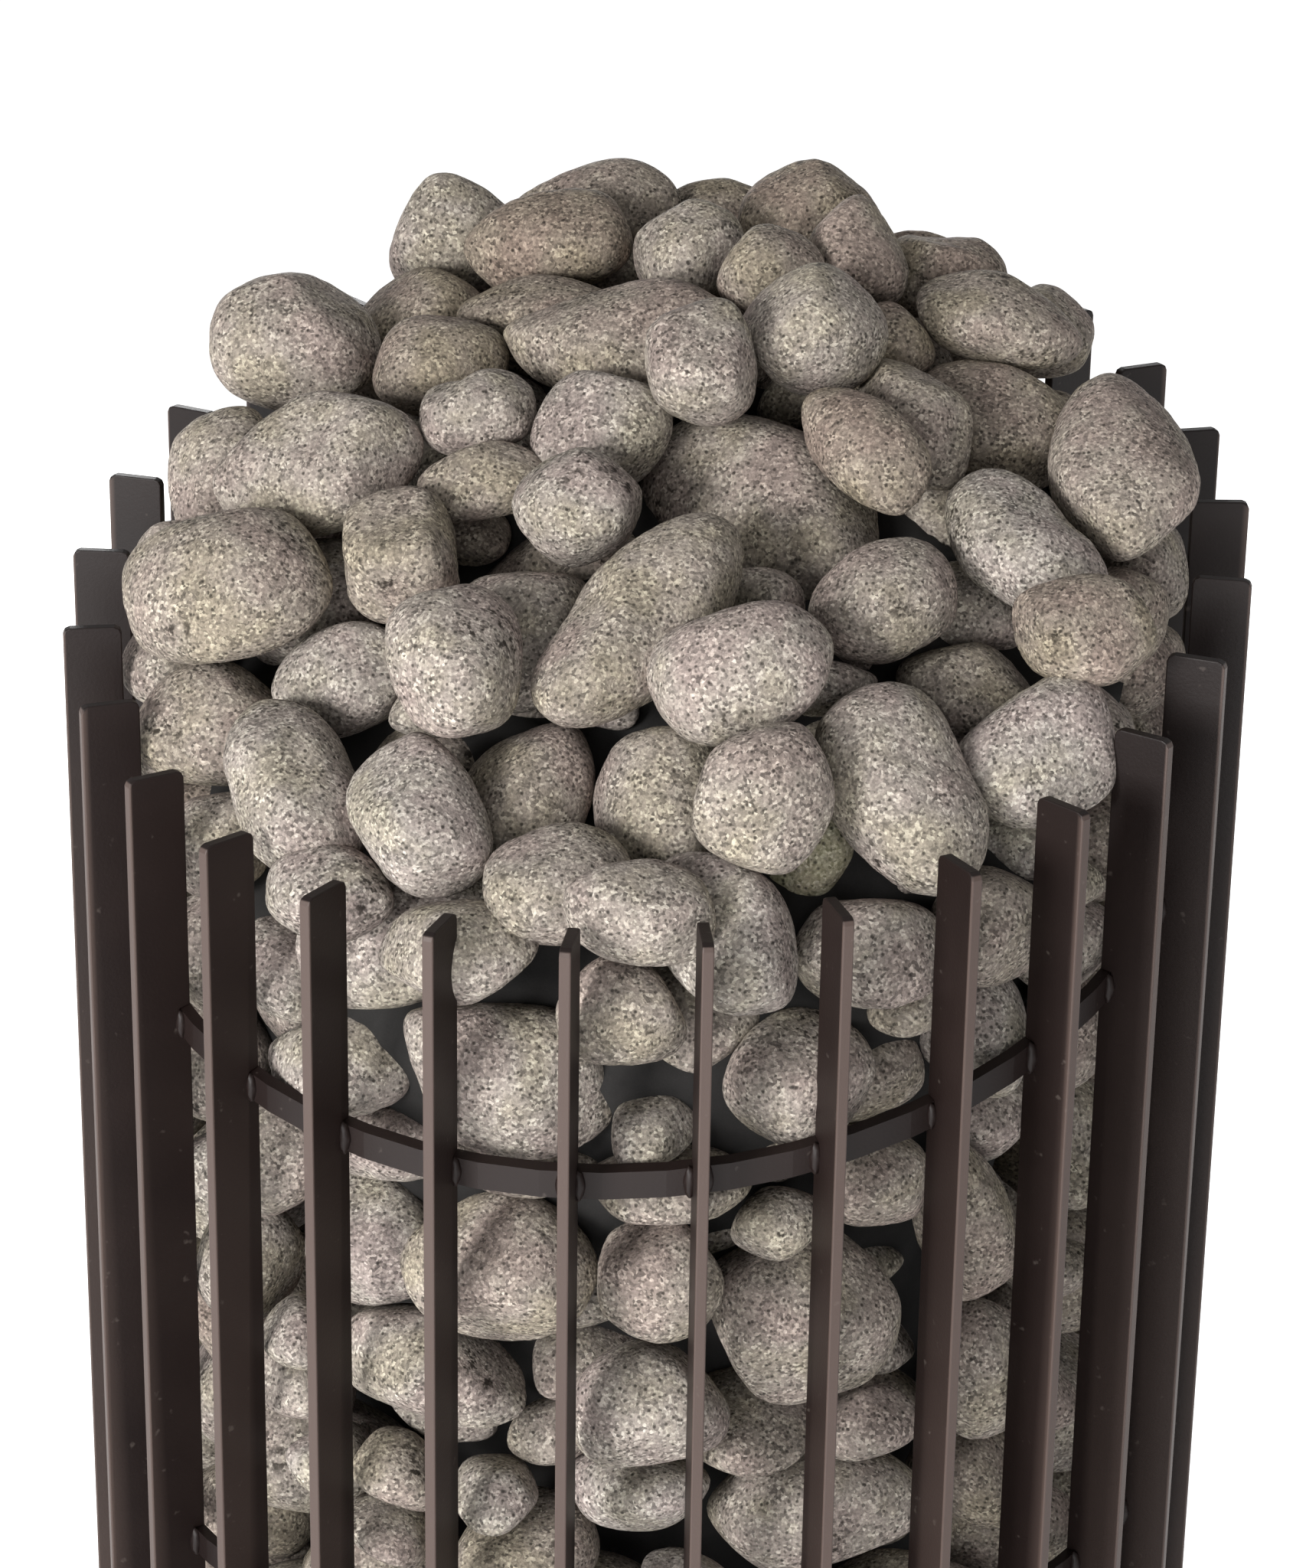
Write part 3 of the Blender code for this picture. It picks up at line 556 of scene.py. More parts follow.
TOUCH_LEVEL = 3
DEPTH_SHARE = 0.5            # how much of a shift goes along the line of sight
CROWN_SIDE = 0.01            # a stone higher than this under a crown stone's middle leaves sideways
STEP_SHARE = 0.6             # share of the wanted shift taken in one round
LONGEST_STEP = 0.006
NEARER, FARTHER = -0.015, 0.045  # how far a stone may leave its place along the line of sight
WIDEST = 0.004               # a crown stone is widest up to this far above its middle
FREE_ROUNDS = 12             # last rounds, in which nothing pulls the stones home


class Solid:
    """A stone with a quick test of how deep a point lies in it."""

    def __init__(self, stone, fixed=False):
        self.stone = stone
        self.fixed = fixed
        self.middle = np.array(stone.middle, float)
        self.turn = np.array(stone.turn, float)
        self.local = stone_local(stone, TOUCH_LEVEL, grain=False)
        self.span = np.linalg.norm(self.local, axis=1).max()

    def points(self):
        return self.local @ self.turn.T + self.middle

    def depth(self, points):
        """How far each point lies inside, along the line to the middle; negative outside."""
        own = (points - self.middle) @ self.turn
        length = np.linalg.norm(own, axis=1) + 1e-9
        unit = own / length[:, None]
        surface = self.local / np.linalg.norm(self.local, axis=1)[:, None]
        nearest = np.argmax(unit @ surface.T, axis=1)
        return np.linalg.norm(self.local[nearest], axis=1) - length


def parting(one, two, sight):
    """Direction in which one leaves two: sideways from under or over a crown stone, else with some depth."""
    apart = one.middle - two.middle
    crown = one if isinstance(one, CrownSolid) else two
    other = two if crown is one else one
    if isinstance(crown, CrownSolid) and other.middle[2] > crown.middle[2] - CROWN_SIDE:
        apart = apart * [1, 1, 0]
    length = np.linalg.norm(apart)
    apart = apart / max(length, 1e-6)
    apart = apart + DEPTH_SHARE * sight * np.sign(apart @ sight)
    return apart / np.linalg.norm(apart)


def push_apart(solids, rounds, hold=0.2, gap=0.0006):
    """Move stones that overlap apart, mostly in depth as seen from the front, inside the cage's wall."""
    eye = np.array(camera_place()[0])
    homes = [solid.middle.copy() for solid in solids]
    sights = [(home - eye) / np.linalg.norm(home - eye) for home in homes]
    for turn in range(rounds):
        clouds = [solid.points() for solid in solids]
        shifts = [np.zeros(3) for _ in solids]
        for first in range(len(solids)):
            for second in range(first + 1, len(solids)):
                one, two = solids[first], solids[second]
                if one.fixed and two.fixed:
                    continue
                if np.linalg.norm(one.middle - two.middle) > one.span + two.span:
                    continue
                deep = max(two.depth(clouds[first]).max(), one.depth(clouds[second]).max()) + gap
                if deep <= 0:
                    continue
                step = parting(one, two, sights[first]) * deep
                share = 1.0 if one.fixed or two.fixed else 0.5
                shifts[first] += 0 if one.fixed else step * share
                shifts[second] -= 0 if two.fixed else step * share
        grip = hold if turn < rounds - FREE_ROUNDS else 0.0
        for index, (solid, cloud) in enumerate(zip(solids, clouds)):
            if solid.fixed:
                continue
            size = np.linalg.norm(shifts[index])
            solid.middle = solid.middle + shifts[index] * min(STEP_SHARE, LONGEST_STEP / max(size, 1e-6))
            away = solid.middle - homes[index]
            along = away @ sights[index]
            aside = away - along * sights[index]
            depth = np.clip(along, NEARER, FARTHER)
            solid.middle = homes[index] + aside * (1 - grip) + sights[index] * depth
            reach = np.hypot(cloud[:, 0], cloud[:, 1])
            worst = reach.argmax()
            if reach[worst] > STONE_WALL:
                solid.middle[:2] -= cloud[worst, :2] / reach[worst] * (reach[worst] - STONE_WALL)
    return solids


CELL = 0.003                 # side of one cell of the height maps
HALF_CELLS = 66
AXIS = (np.arange(2 * HALF_CELLS + 1) - HALF_CELLS) * CELL
GRID_X, GRID_Y = np.meshgrid(AXIS, AXIS, indexing="ij")
GRID_R = np.hypot(GRID_X, GRID_Y)
OUT_OF_REACH = 9.0
CORE_RADIUS = 0.118          # inside this, under the heap's top layers, no stone can be seen
CORE_DROP = 0.085            # depth of the core under the heap's surface
CORE_WIDTH = 0.172           # radius of the core's top
CORE_DEPTH = 0.040           # its depth under the heap's surface
CORE_SINK = 0.018            # more depth at the rim
TOP_ROUNDS, WALL_ROUNDS = 60, 40
HEAP_SEED = 11
LOOSE_SEED = 1000
BANDS = 6                    # the wall stones are laid in this many layers, with filling under each
LID_DROP = 0.004             # filling stays this far under the heap's surface
WALL_GAP = 0.001             # and this far under the wall stones
CHIP_EDGE = 0.14             # chips stay deeper outside this radius
CHIP_DROP, CHIP_DROP_EDGE = 0.026, 0.050
WEDGE = 0.007                # how far filling may press up into the hollows under the top stones


def footprint(points):
    """Cells under a stone, with its lowest and highest point in each, about its middle."""
    cells = np.round(points[:, :2] / CELL).astype(int)
    keys = cells[:, 0] * 1000 + cells[:, 1]
    order = np.argsort(keys)
    keys, cells, heights = keys[order], cells[order], points[order, 2]
    starts = np.flatnonzero(np.r_[True, keys[1:] != keys[:-1]])
    return cells[starts], np.minimum.reduceat(heights, starts), np.maximum.reduceat(heights, starts)


def stamp(ground, points):
    """Raise the ground to a stone's top."""
    cells, _, top = footprint(points)
    i, j = cells[:, 0] + HALF_CELLS, cells[:, 1] + HALF_CELLS
    np.maximum.at(ground, (i, j), top)


def lower(ceiling, points):
    """Lower the ceiling to a stone's underside."""
    cells, bottom, _ = footprint(points)
    i, j = cells[:, 0] + HALF_CELLS, cells[:, 1] + HALF_CELLS
    np.minimum.at(ceiling, (i, j), bottom)


# Least and most length of a graded sauna stone, a smaller one and a chip, and width and thickness by length
GRADE_LENGTHS = {0: (0.054, 0.086), 1: (0.034, 0.046), 2: (0.022, 0.032)}
WIDTH_SHARE = (0.68, 0.88)
THICKNESS_SHARE = (0.50, 0.70)
LAY_ATTEMPTS = 4             # stones tried for each place, of which the lowest lying is kept
TILT = 0.30                  # radians, one standard deviation
WALL_REACH = (0.9, 1.6)      # distance from the bars, in half widths of the stone
RESTING_GAP = 0.0004
HEAD_ROOM = 0.0003


def random_size(rng, grade):
    """Length, width and thickness of a stone of one grade."""
    length = rng.uniform(*GRADE_LENGTHS[grade])
    return np.array([length, length * rng.uniform(*WIDTH_SHARE), length * rng.uniform(*THICKNESS_SHARE)])


def drop_stones(ground, ceiling, rng, seed, limit, grades=(0, 0, 0, 1), tries=70, spread=0.35):
    """Drop random stones where they come to lie lowest, until no more fit under the ceiling."""
    placed, misses = [], 0
    while misses < limit:
        size = random_size(rng, int(rng.choice(grades)))
        best = None
        for _ in range(LAY_ATTEMPTS):
            turn = Matrix.Rotation(rng.uniform(0, 2 * pi), 3, "Z")
            turn = turn @ Matrix.Rotation(rng.normal(0, TILT), 3, "Y")
            turn = turn @ Matrix.Rotation(rng.normal(0, TILT), 3, "X")
            stone = Stone(np.zeros(3), np.array(turn), size, seed)
            cloud = stone_points(stone, 4, grain=False)
            cells, bottom, top = footprint(cloud)
            radius = STONE_WALL - 0.5 * size[1] * rng.uniform(*WALL_REACH, tries)
            radius = np.where(rng.random(tries) < spread, rng.uniform(0.02, STONE_WALL, tries), radius)
            angle = rng.uniform(0, 2 * pi, tries)
            x, y = radius * np.cos(angle), radius * np.sin(angle)
            ci = np.round(x / CELL).astype(int)
            cj = np.round(y / CELL).astype(int)
            i = np.clip(ci[:, None] + cells[:, 0] + HALF_CELLS, 0, 2 * HALF_CELLS)
            j = np.clip(cj[:, None] + cells[:, 1] + HALF_CELLS, 0, 2 * HALF_CELLS)
            rest = (ground[i, j] - bottom).max(axis=1) + RESTING_GAP
            room = (ceiling[i, j] - (rest[:, None] + top)).min(axis=1)
            rest = np.where(room > HEAD_ROOM, rest, OUT_OF_REACH)
            pick = rest.argmin()
            if rest[pick] < OUT_OF_REACH / 2 and (best is None or rest[pick] < best[0]):
                place = np.array([ci[pick] * CELL, cj[pick] * CELL, rest[pick]])
                best = (rest[pick], stone, cloud, place)
        if best is None:
            misses += 1
            continue
        _, stone, cloud, middle = best
        placed.append(stone._replace(middle=middle))
        stamp(ground, cloud + middle)
        seed += 1
    return placed, seed


def lay_heap():
    """All loose stones: crown stones stay as they are, listed ones are eased apart, the rest is dropped."""
    crowns = [CrownSolid(name) for name in CROWNS]
    top = [Solid(stone) for stone in top_stones()]
    push_apart(crowns + top, TOP_ROUNDS)
    top = [solid.stone._replace(middle=solid.middle) for solid in top]
    wall = [Solid(stone) for stone in wall_stones()]
    fixed = [Solid(stone, fixed=True) for stone in top]
    push_apart(crowns + fixed + wall, WALL_ROUNDS)
    wall = sorted((solid.stone._replace(middle=solid.middle) for solid in wall), key=lambda s: s.middle[2])
    rng = np.random.default_rng(HEAP_SEED)
    ground = np.where(GRID_R < CORE_RADIUS, heap_height(GRID_X, GRID_Y) - CORE_DROP, GRATE_TOP)
    ground = np.where(GRID_R > STONE_WALL, OUT_OF_REACH, ground)
    lid = heap_height(GRID_X, GRID_Y) - LID_DROP
    for solid in crowns:
        lower(lid, solid.cloud())
    for stone in top:
        lower(lid, stone_points(stone, 4, grain=False) + [0, 0, WEDGE])
    loose, seed = [], LOOSE_SEED
    starts = np.cumsum([0] + [len(band) for band in np.array_split(np.arange(len(wall)), BANDS)])
    for band in range(BANDS):
        ceiling = lid.copy()
        for stone in wall[starts[band]:]:
            lower(ceiling, stone_points(stone, 4, grain=False) - [0, 0, WALL_GAP])
        more, seed = drop_stones(ground, ceiling, rng, seed, limit=26)
        loose += more
        more, seed = drop_stones(ground, ceiling, rng, seed, limit=12, grades=(1,))
        loose += more
        for stone in wall[starts[band]:starts[band + 1]]:
            stamp(ground, stone_points(stone, 4, grain=False))
    more, seed = drop_stones(ground, lid, rng, seed, limit=40)
    loose += more
    more, seed = drop_stones(ground, lid, rng, seed, limit=30, grades=(1,), tries=160, spread=0.7)
    loose += more
    hidden = np.where(GRID_R > CHIP_EDGE, CHIP_DROP_EDGE, CHIP_DROP)
    deep = np.minimum(lid, heap_height(GRID_X, GRID_Y) - hidden)
    more, seed = drop_stones(ground, deep, rng, seed, limit=30, grades=(2,), tries=260, spread=0.8)
    loose += more
    return top, wall, loose


class CrownSolid(Solid):
    """A crown stone of the frame, as a fixed obstacle whose column above it is kept free."""

    def __init__(self, name):
        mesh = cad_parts[name].data
        points = np.array([vert.co[:] for vert in mesh.vertices])
        self.fixed = True
        self.middle = (points.min(axis=0) + points.max(axis=0)) / 2
        self.turn = np.eye(3)
        self.local = points - self.middle
        self.span = np.linalg.norm(self.local, axis=1).max()

    def cloud(self):
        return self.local + self.middle

    def depth(self, points):
        """As for any stone, but a point above the stone counts as lying in its widest section."""
        lifted = points.copy()
        lifted[:, 2] = np.minimum(lifted[:, 2], self.middle[2] + WIDEST)
        return super().depth(lifted)


# ---------------------------------------------------------------- meshes

MERGE_DISTANCE = 0.00001
CROWN_LEVELS = 3
CROWN_SEED = 500
CROWN_RELIEF = 0.0036        # flats worn into the crown stones, mostly inwards
CROWN_INWARD = 0.55
CROWN_CONTRAST = 6
STONES_PER_PIECE = 140
SHADE_SEED = 5
# Painted shade: stones are lighter at the low front and darker by the fall towards the crest, with a random
# spread
SHADE_FRONT, PAINTED_SHADE_FALL, SHADE_SPREAD = 0.62, 0.30, 0.13
SHADE_RUN = 0.16             # the painted shade changes this far before and behind the axis


def new_piece(name, points, faces, materials, smooth=True):
    """A mesh object at the origin, linked to the scene."""
    mesh = bpy.data.meshes.new(name)
    mesh.from_pydata([tuple(point) for point in points], [], [tuple(face) for face in faces])
    for material in materials:
        mesh.materials.append(material)
    if smooth:
        mesh.shade_smooth()
    piece = bpy.data.objects.new(name, mesh)
    bpy.context.scene.collection.objects.link(piece)
    return piece


def stone_shade(middle, rng):
    """Brightness of one stone: a random tone with painted light, lighter and cooler at the low front, darker
    and browner towards the crest.
    """
    rise = np.clip((middle[1] + SHADE_RUN) / (2 * SHADE_RUN), 0, 1)
    return float(np.clip(rng.normal(SHADE_FRONT - PAINTED_SHADE_FALL * rise, SHADE_SPREAD), 0, 1))


def stone_pile(name, stones, level, material, rng):
    """Many stones in one piece, each with its own tone and painted shade."""
    directions, faces = SPHERES[level]
    per = len(directions)
    clouds = [stone_points(stone, level) for stone in stones]
    points = np.concatenate(clouds)
    triangles = np.concatenate([faces + per * index for index in range(len(stones))])
    piece = new_piece(name, points, triangles, [material])
    shade = piece.data.attributes.new("stone_shade", "FLOAT", "POINT")
    values = np.repeat([stone_shade(stone.middle, rng) for stone in stones], per)
    shade.data.foreach_set("value", values)
    return piece


def merged_copy(name, suffix, flatten=False):
    """A copy of a CAD node with its loose triangles joined up, and flat faces made whole if asked."""
    shape = bmesh.new()
    shape.from_mesh(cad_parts[name].data)
    bmesh.ops.remove_doubles(shape, verts=shape.verts, dist=MERGE_DISTANCE)
    if flatten:
        bmesh.ops.dissolve_limit(shape, angle_limit=radians(1), verts=shape.verts, edges=shape.edges)
    mesh = bpy.data.meshes.new(name + suffix)
    shape.to_mesh(mesh)
    shape.free()
    piece = bpy.data.objects.new(name + suffix, mesh)
    bpy.context.scene.collection.objects.link(piece)
    return piece


def finished(piece):
    """Make what the piece's modifiers give its plain mesh."""
    done = bpy.data.meshes.new_from_object(piece.evaluated_get(bpy.context.evaluated_depsgraph_get()))
    piece.modifiers.clear()
    piece.data = done
    return piece


def crown_piece(name, material, rng):
    """A detailed stone on the shape of the frame's crown stone."""
    piece = merged_copy(name, "_fine")
    step = piece.modifiers.new("finer", "SUBSURF")
    step.levels = CROWN_LEVELS
    step.render_levels = CROWN_LEVELS
    fine = finished(piece).data
    points = np.array([vert.co[:] for vert in fine.vertices])
    normals = np.array([vert.normal[:] for vert in fine.vertices])
    middle = (points.min(axis=0) + points.max(axis=0)) / 2
    seed = CROWN_SEED + CROWNS.index(name)
    directions = points - middle
    directions /= np.linalg.norm(directions, axis=1)[:, None]
    reach = stone_reach(directions, seed)
    reach = (np.tanh((reach / np.median(reach) - 1) * CROWN_CONTRAST) - CROWN_INWARD) * CROWN_RELIEF
    grain = tumbled_grain(points - middle, seed)
    points += normals * (reach + grain)[:, None]
    fine.vertices.foreach_set("co", points.ravel())
    fine.materials.clear()
    fine.materials.append(material)
    fine.shade_smooth()
    # the stone's tone with painted shade by its place on the heap
    shade = fine.attributes.new("stone_shade", "FLOAT", "POINT")
    shade.data.foreach_set("value", np.full(len(points), stone_shade(middle, rng)))
    return piece


def add_stones(materials):
    """Make every stone and hang the crown stones on their own bodies."""
    rng = np.random.default_rng(SHADE_SEED)
    top, wall, loose = lay_heap()
    plain, pale, dark = materials
    for name in CROWNS:
        piece = crown_piece(name, plain, rng)
        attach(piece, name)
        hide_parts(name)
    ordinary = [stone for index, stone in enumerate(top) if index != PALE_STONE]
    groups = [("top_stones_back", [s for s in ordinary if s.middle[1] >= 0], 5),
              ("top_stones_front", [s for s in ordinary if s.middle[1] < 0], 5),
              ("wall_stones_front", [s for s in wall if s.seed < RIM_SEED], 5),
              ("wall_stones_under_rim", [s for s in wall if s.seed >= RIM_SEED], 4)]
    loose.sort(key=lambda s: s.middle[2])
    for start in range(0, len(loose), STONES_PER_PIECE):
        number = start // STONES_PER_PIECE + 1
        groups.append((f"filling_stones_{number}", loose[start:start + STONES_PER_PIECE], 4))
    pieces = [stone_pile(name, stones, level, plain, rng) for name, stones, level in groups]
    pieces.append(stone_pile("pale_stone", [top[PALE_STONE]], 5, pale, rng))
    pieces.append(stone_core(dark))
    for piece in pieces:
        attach(piece, BODY)
        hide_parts("stone_fill")


CORE_STEPS, CORE_RINGS = 96, 24
CORE_STEM = (0.4, 0.001)     # heights of the stem's top and foot above the grate
CORE_STEM_RADIUS = CORE_RADIUS - 0.004
CORE_EYE = 0.0005            # radius of the innermost ring


def core_height(x, y):
    """The core's lumpy top: just under the top stones in the middle, lower towards its rim."""
    lumps = 0.005 * sin(110 * x + 1) * cos(95 * y) + 0.004 * sin(170 * y + 60 * x)
    sink = CORE_DEPTH + CORE_SINK * ((x * x + y * y) ** 0.5 / CORE_WIDTH) ** 4
    return heap_height(x, y) - sink + lumps


def stone_core(material):
    """The unseen middle of the heap: one rough body under the top stones, painted near-black as the shade
    seen in the gaps between them.
    """
    steps, rings = CORE_STEPS, CORE_RINGS
    points, faces = [], []
    for ring in range(rings + 1):
        for step in range(steps):
            angle = 2 * pi * step / steps
            reach = CORE_WIDTH * ring / rings if ring else CORE_EYE
            x, y = reach * cos(angle), reach * sin(angle)
            points.append((x, y, core_height(x, y)))
    for height in CORE_STEM:
        for step in range(steps):
            angle = 2 * pi * step / steps
            points.append((CORE_STEM_RADIUS * cos(angle), CORE_STEM_RADIUS * sin(angle), GRATE_TOP + height))
    for ring in range(rings + 2):
        for step in range(steps):
            a, b = ring * steps + step, ring * steps + (step + 1) % steps
            faces.append((a, a + steps, b + steps, b))
    last = (rings + 2) * steps
    faces.append(tuple(range(steps)))
    faces.append(tuple(range(last, last + steps)))
    piece = new_piece("stone_core", points, faces, [material])
    shape = bmesh.new()
    shape.from_mesh(piece.data)
    bmesh.ops.recalc_face_normals(shape, faces=shape.faces)
    shape.to_mesh(piece.data)
    shape.free()
    shade = piece.data.attributes.new("stone_shade", "FLOAT", "POINT")
    shade.data.foreach_set("value", np.zeros(len(piece.data.vertices)))
    return piece


# ---------------------------------------------------------------- cage and the rest

BAR_EDGE = 0.0005            # radius of the bars' rolled edges
BEVEL_FROM = 35              # degrees between faces from which an edge counts
PAINTED_HIGHLIGHT_BAND = 0.0008           # the painted highlight lies this near to the bars' outer edges
# strength of the painted highlight on the outer edges
PAINTED_HIGHLIGHT_STRENGTH = 0.75
BEAD = {"Bead width": 0.0040, "Bead length": 0.0105, "Unevenness": 0.35, "Seed": 3}
BEAD_SPREAD = (0.8, 1.15)    # least and most size of a bead
BEAD_OUT, BEAD_ASIDE = 0.0004, 0.0008    # from the hoop's face and from the bar's side


def rounded_bar(name):
    """A copy of a bar with its edges rounded as rolling leaves them."""
    piece = merged_copy(name, "_rounded", flatten=True)
    step = piece.modifiers.new("edges", "BEVEL")
    step.width = BAR_EDGE
    step.segments = 2
    step.limit_method = "ANGLE"
    step.angle_limit = radians(BEVEL_FROM)
    step.use_clamp_overlap = True
    return finished(piece)


def mark_edges(piece):
    """Store how near each corner of the mesh is to an outer edge, where a painted highlight lightens the
    coat.
    """
    points = np.array([vert.co[:] for vert in piece.data.vertices])
    reach = np.hypot(points[:, 0], points[:, 1])
    painted_highlight = np.clip((reach - (RADIUS - PAINTED_HIGHLIGHT_BAND)) / PAINTED_HIGHLIGHT_BAND * 3, 0, 1) * PAINTED_HIGHLIGHT_STRENGTH
    field = piece.data.attributes.new("edge_wear", "FLOAT", "POINT")
    field.data.foreach_set("value", painted_highlight)


def add_cage(coat):
    """Bars, hoops, plate and grate with rounded edges and the powder coat."""
    for name in BARS:
        piece = rounded_bar(name)
        piece.data.materials.clear()
        piece.data.materials.append(coat)
        mark_edges(piece)
        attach(piece, BODY)
        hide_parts(name)
    for name in ("hoop_upper", "hoop_middle", "hoop_lower", "base_plate", "stone_grate"):
        repaint(name, coat)


def start_tree(title, inputs, output):
    """A Geometry Nodes tree with named inputs and one geometry output."""
    tree = bpy.data.node_groups.new(title, "GeometryNodeTree")
    for name, kind in inputs:
        tree.interface.new_socket(name, in_out="INPUT", socket_type=f"NodeSocket{kind}")
    tree.interface.new_socket(output, in_out="OUTPUT", socket_type="NodeSocketGeometry")
    return tree, node(tree, "NodeGroupInput").outputs


def finish_tree(tree, placed, material):
    """Make the instances real, paint them and lead them out."""
    real = node(tree, "GeometryNodeRealizeInstances", None, Geometry=placed.outputs[0])
    painted = node(tree, "GeometryNodeSetMaterial", {"Material": material}, Geometry=real.outputs[0])
    node(tree, "NodeGroupOutput", None, _0=painted.outputs[0])
    return tree


def run_tree(piece, tree, values):
    """Give the piece the mesh that the tree makes from it, its inputs set by name."""
    step = piece.modifiers.new("maker", "NODES")
    step.node_group = tree
    for item in tree.interface.items_tree:
        if item.name in values:
            step[item.identifier] = values[item.name]
    return finished(piece)


def bead_tree(material):
    """Geometry nodes: one lumpy weld bead on each point, its long side upright."""
    tree, given = start_tree("weld_beads", [
        ("Corners", "Geometry"), ("Bead width", "Float"), ("Bead length", "Float"),
        ("Unevenness", "Float"), ("Seed", "Int")], "Beads")
    ball = node(tree, "GeometryNodeMeshIcoSphere", {"Radius": 0.5, "Subdivisions": 3})
    ripple = node(tree, "ShaderNodeTexNoise", {"Scale": 3.0, "Detail": 2.0})
    centred = node(tree, "ShaderNodeVectorMath", {"operation": "SUBTRACT"}, _0=ripple.outputs["Color"])
    centred.inputs[1].default_value = (0.5, 0.5, 0.5)
    push = node(tree, "ShaderNodeVectorMath", {"operation": "SCALE"}, _0=centred.outputs[0],
                Scale=given["Unevenness"])
    lumpy = node(tree, "GeometryNodeSetPosition", None, Geometry=ball.outputs["Mesh"], Offset=push.outputs[0])
    width = node(tree, "ShaderNodeCombineXYZ", None, X=given["Bead width"], Y=given["Bead width"],
                 Z=given["Bead length"])
    vary = node(tree, "FunctionNodeRandomValue", {"data_type": "FLOAT"}, Seed=given["Seed"])
    vary.inputs[2].default_value, vary.inputs[3].default_value = BEAD_SPREAD
    size = node(tree, "ShaderNodeVectorMath", {"operation": "SCALE"}, _0=width.outputs[0],
                Scale=vary.outputs[1])
    placed = node(tree, "GeometryNodeInstanceOnPoints", None, Points=given["Corners"],
                  Instance=lumpy.outputs[0], Scale=size.outputs[0])
    return finish_tree(tree, placed, material)


def bead_corners():
    """Points in the corners between the bars' sides and the hoops' outer faces."""
    points = []
    for hoop in ("hoop_upper", "hoop_middle", "hoop_lower"):
        low, high = extent(hoop)
        slope = CUT_SLOPE if hoop == "hoop_upper" else 0.0
        reach = high[1] + BEAD_OUT
        for index in range(len(BARS)):
            bearing = 2 * pi * (index + 0.5) / len(BARS)
            for side in (-1, 1):
                offset = side * (THICKNESS / 2 + BEAD_ASIDE)
                x = reach * sin(bearing) + offset * cos(bearing)
                y = -reach * cos(bearing) + offset * sin(bearing)
                points.append((x, y, (low[2] + high[2]) / 2 + slope * y))
    return points


def add_welds(coat):
    """Weld beads that join the bars to the hoops, under the powder coat."""
    piece = new_piece("weld_beads", bead_corners(), [], [coat], smooth=False)
    run_tree(piece, bead_tree(coat), BEAD)
    piece.data.shade_smooth()
    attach(piece, BODY)


# Profile of a pan-head screw from its rim to the bottom of its hexagon socket: radius, height in metres
SCREW_PROFILE = [(0.0035, 0.0), (0.0035, 0.0009), (0.0031, 0.0017), (0.0024, 0.0021),
                 (0.0016, 0.0022), (0.00155, 0.0010)]
SCREW_SIDES = 24
SCREW_INSET = 0.007          # from the cover's edges
SCREW_GAP = 0.0002           # under the heads


def screw_tree(material):
    """Geometry nodes: the given screw in the four corners of an upright rectangle."""
    tree, given = start_tree("cover_screws", [
        ("Screw", "Geometry"), ("Spacing across", "Float"), ("Spacing up", "Float"),
        ("Middle", "Vector")], "Screws")
    corners = node(tree, "GeometryNodeMeshGrid", {"Vertices X": 2, "Vertices Y": 2},
                   Size_X=given["Spacing across"], Size_Y=given["Spacing up"])
    upright = node(tree, "GeometryNodeTransform", {"Rotation": (pi / 2, 0, 0)},
                   Geometry=corners.outputs["Mesh"], Translation=given["Middle"])
    placed = node(tree, "GeometryNodeInstanceOnPoints", None, Points=upright.outputs[0],
                  Instance=given["Screw"])
    return finish_tree(tree, placed, material)


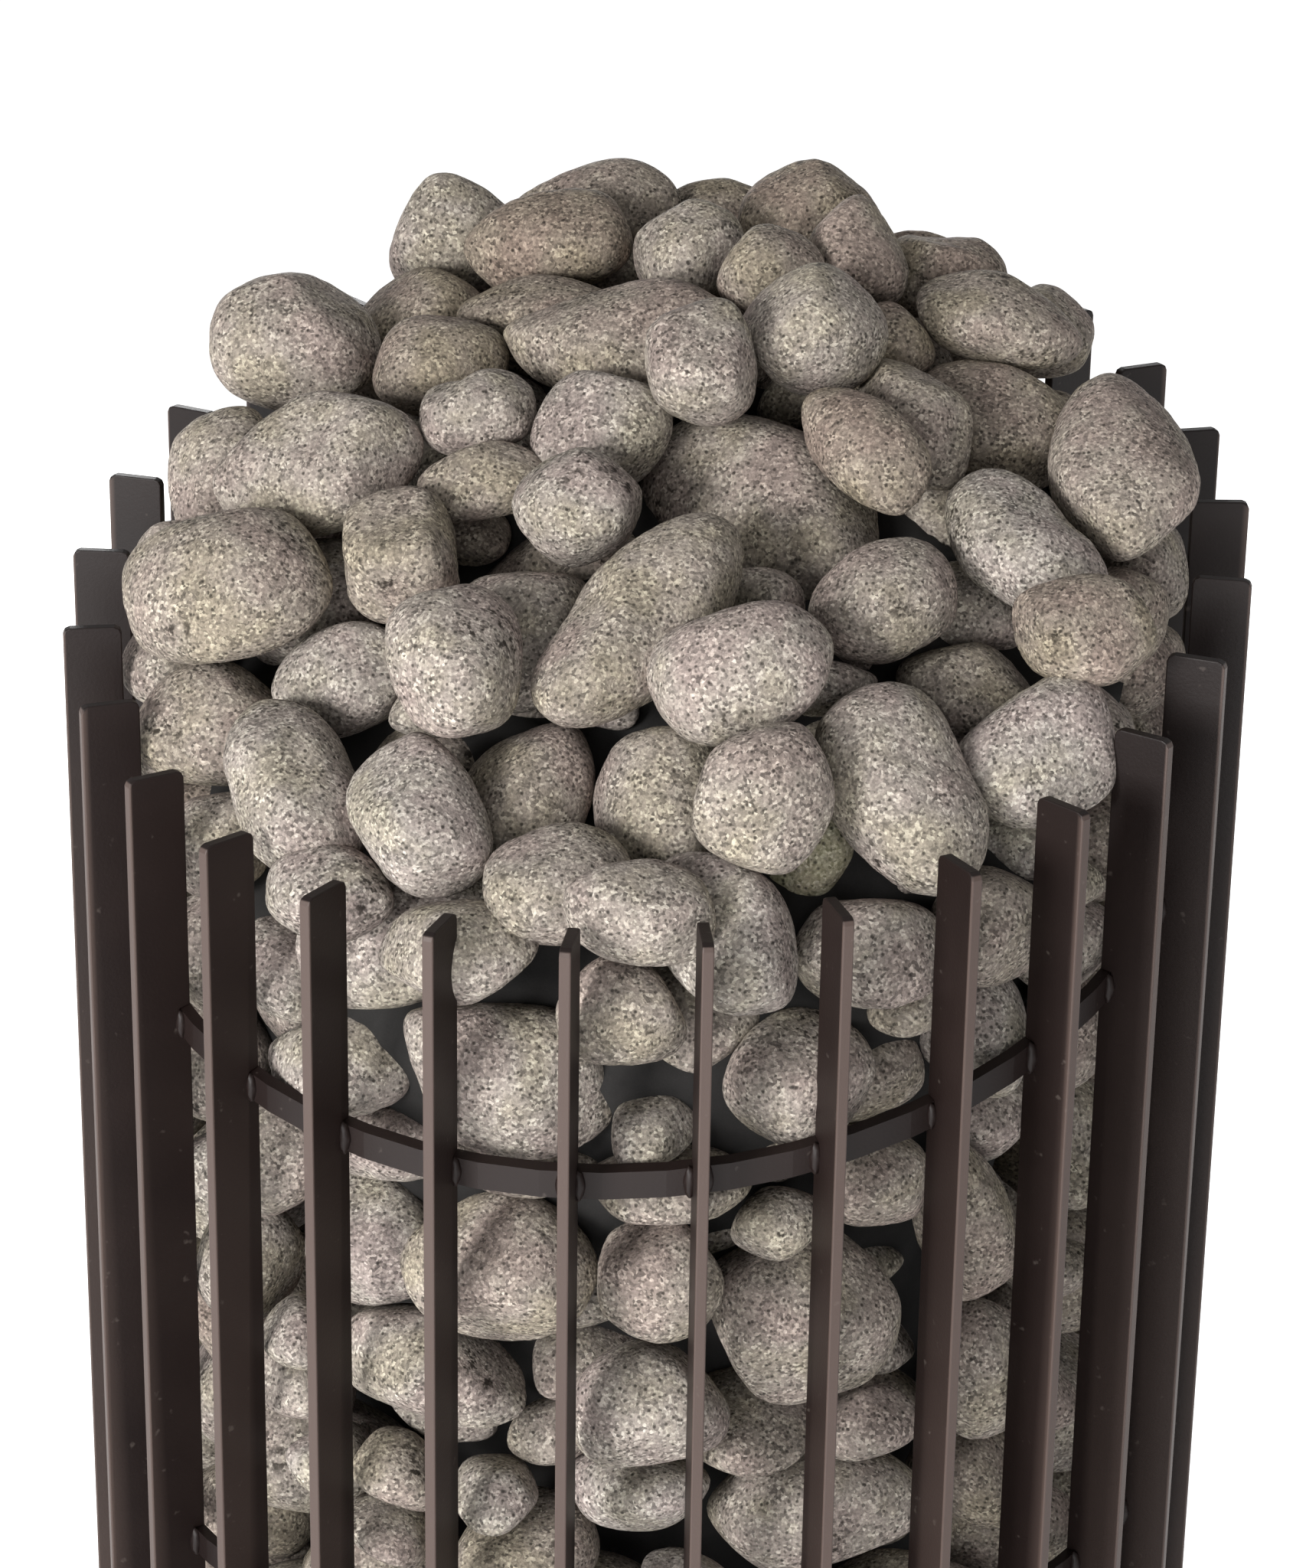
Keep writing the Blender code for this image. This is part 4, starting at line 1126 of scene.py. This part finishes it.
def add_cover_screws(material):
    """Four pan-head screws that hold the cover, on its front face near the corners."""
    turns = [2 * pi * side / SCREW_SIDES for side in range(SCREW_SIDES)]
    points = [(radius * cos(turn), -height, radius * sin(turn))
              for radius, height in SCREW_PROFILE for turn in turns]
    faces = [tuple(range(SCREW_SIDES - 1, -1, -1)), tuple(range(len(points) - SCREW_SIDES, len(points)))]
    for ring in range(0, len(points) - SCREW_SIDES, SCREW_SIDES):
        for side in range(SCREW_SIDES):
            a, b = ring + side, ring + (side + 1) % SCREW_SIDES
            faces.append((a, b, b + SCREW_SIDES, a + SCREW_SIDES))
    piece = new_piece("cover_screws", points, faces, [material], smooth=False)
    low, high = extent("connection_cover")
    middle = (low + high) / 2
    run_tree(piece, screw_tree(material), {
        "Spacing across": float(high[0] - low[0] - 2 * SCREW_INSET),
        "Spacing up": float(high[2] - low[2] - 2 * SCREW_INSET),
        "Middle": (float(middle[0]), float(low[1]) - SCREW_GAP, float(middle[2]))})
    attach(piece, BODY)


def repaint(name, material):
    """Give a CAD node a better material."""
    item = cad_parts[name]
    item.data.materials.clear()
    item.data.materials.append(material)


add_camera()
add_studio()
coat = powder_coat()
add_cage(coat)
add_welds(coat)
add_stones((sauna_stone("tumbled_olivine_diabase", "#78746f", "#928c88", "#a9a39e", "#c8bcab"),
            sauna_stone("tumbled_pale_serpentine", "#aaa98c", "#bbb99c", "#cccaac", "#e6e2c8"),
            # near-black painted shade for the core, seen in the gaps between the stones
            moulded("sooty_stone_in_the_shade", "#0d0c0b", "#181615", 0.9, 0.3)))
zinc = rolled_metal("zinc_coated_sheet", "#8c8f90", "#a4a6a6", 0.34, 120.0)
for name in ["connection_box", "connection_cover", *FEET]:
    repaint(name, zinc)
add_cover_screws(zinc)
tube = rolled_metal("heat_tinted_stainless_tube", "#6d645a", "#8e857a", 0.30, 300.0)
for name in ELEMENTS:
    repaint(name, tube)
black = moulded("black_glass_filled_nylon", "#17171a", "#212124", 0.5, 0.2)
for name in ("cable_gland", "limit_thermostat"):
    repaint(name, black)
repaint("reset_button", moulded("red_moulded_nylon", "#8f1b15", "#a8241d", 0.35, 0.08))
repaint("terminal_block", moulded("pale_steatite_ceramic", "#cfc9ba", "#ded9cc", 0.6, 0.3))

bpy.context.view_layer.update()
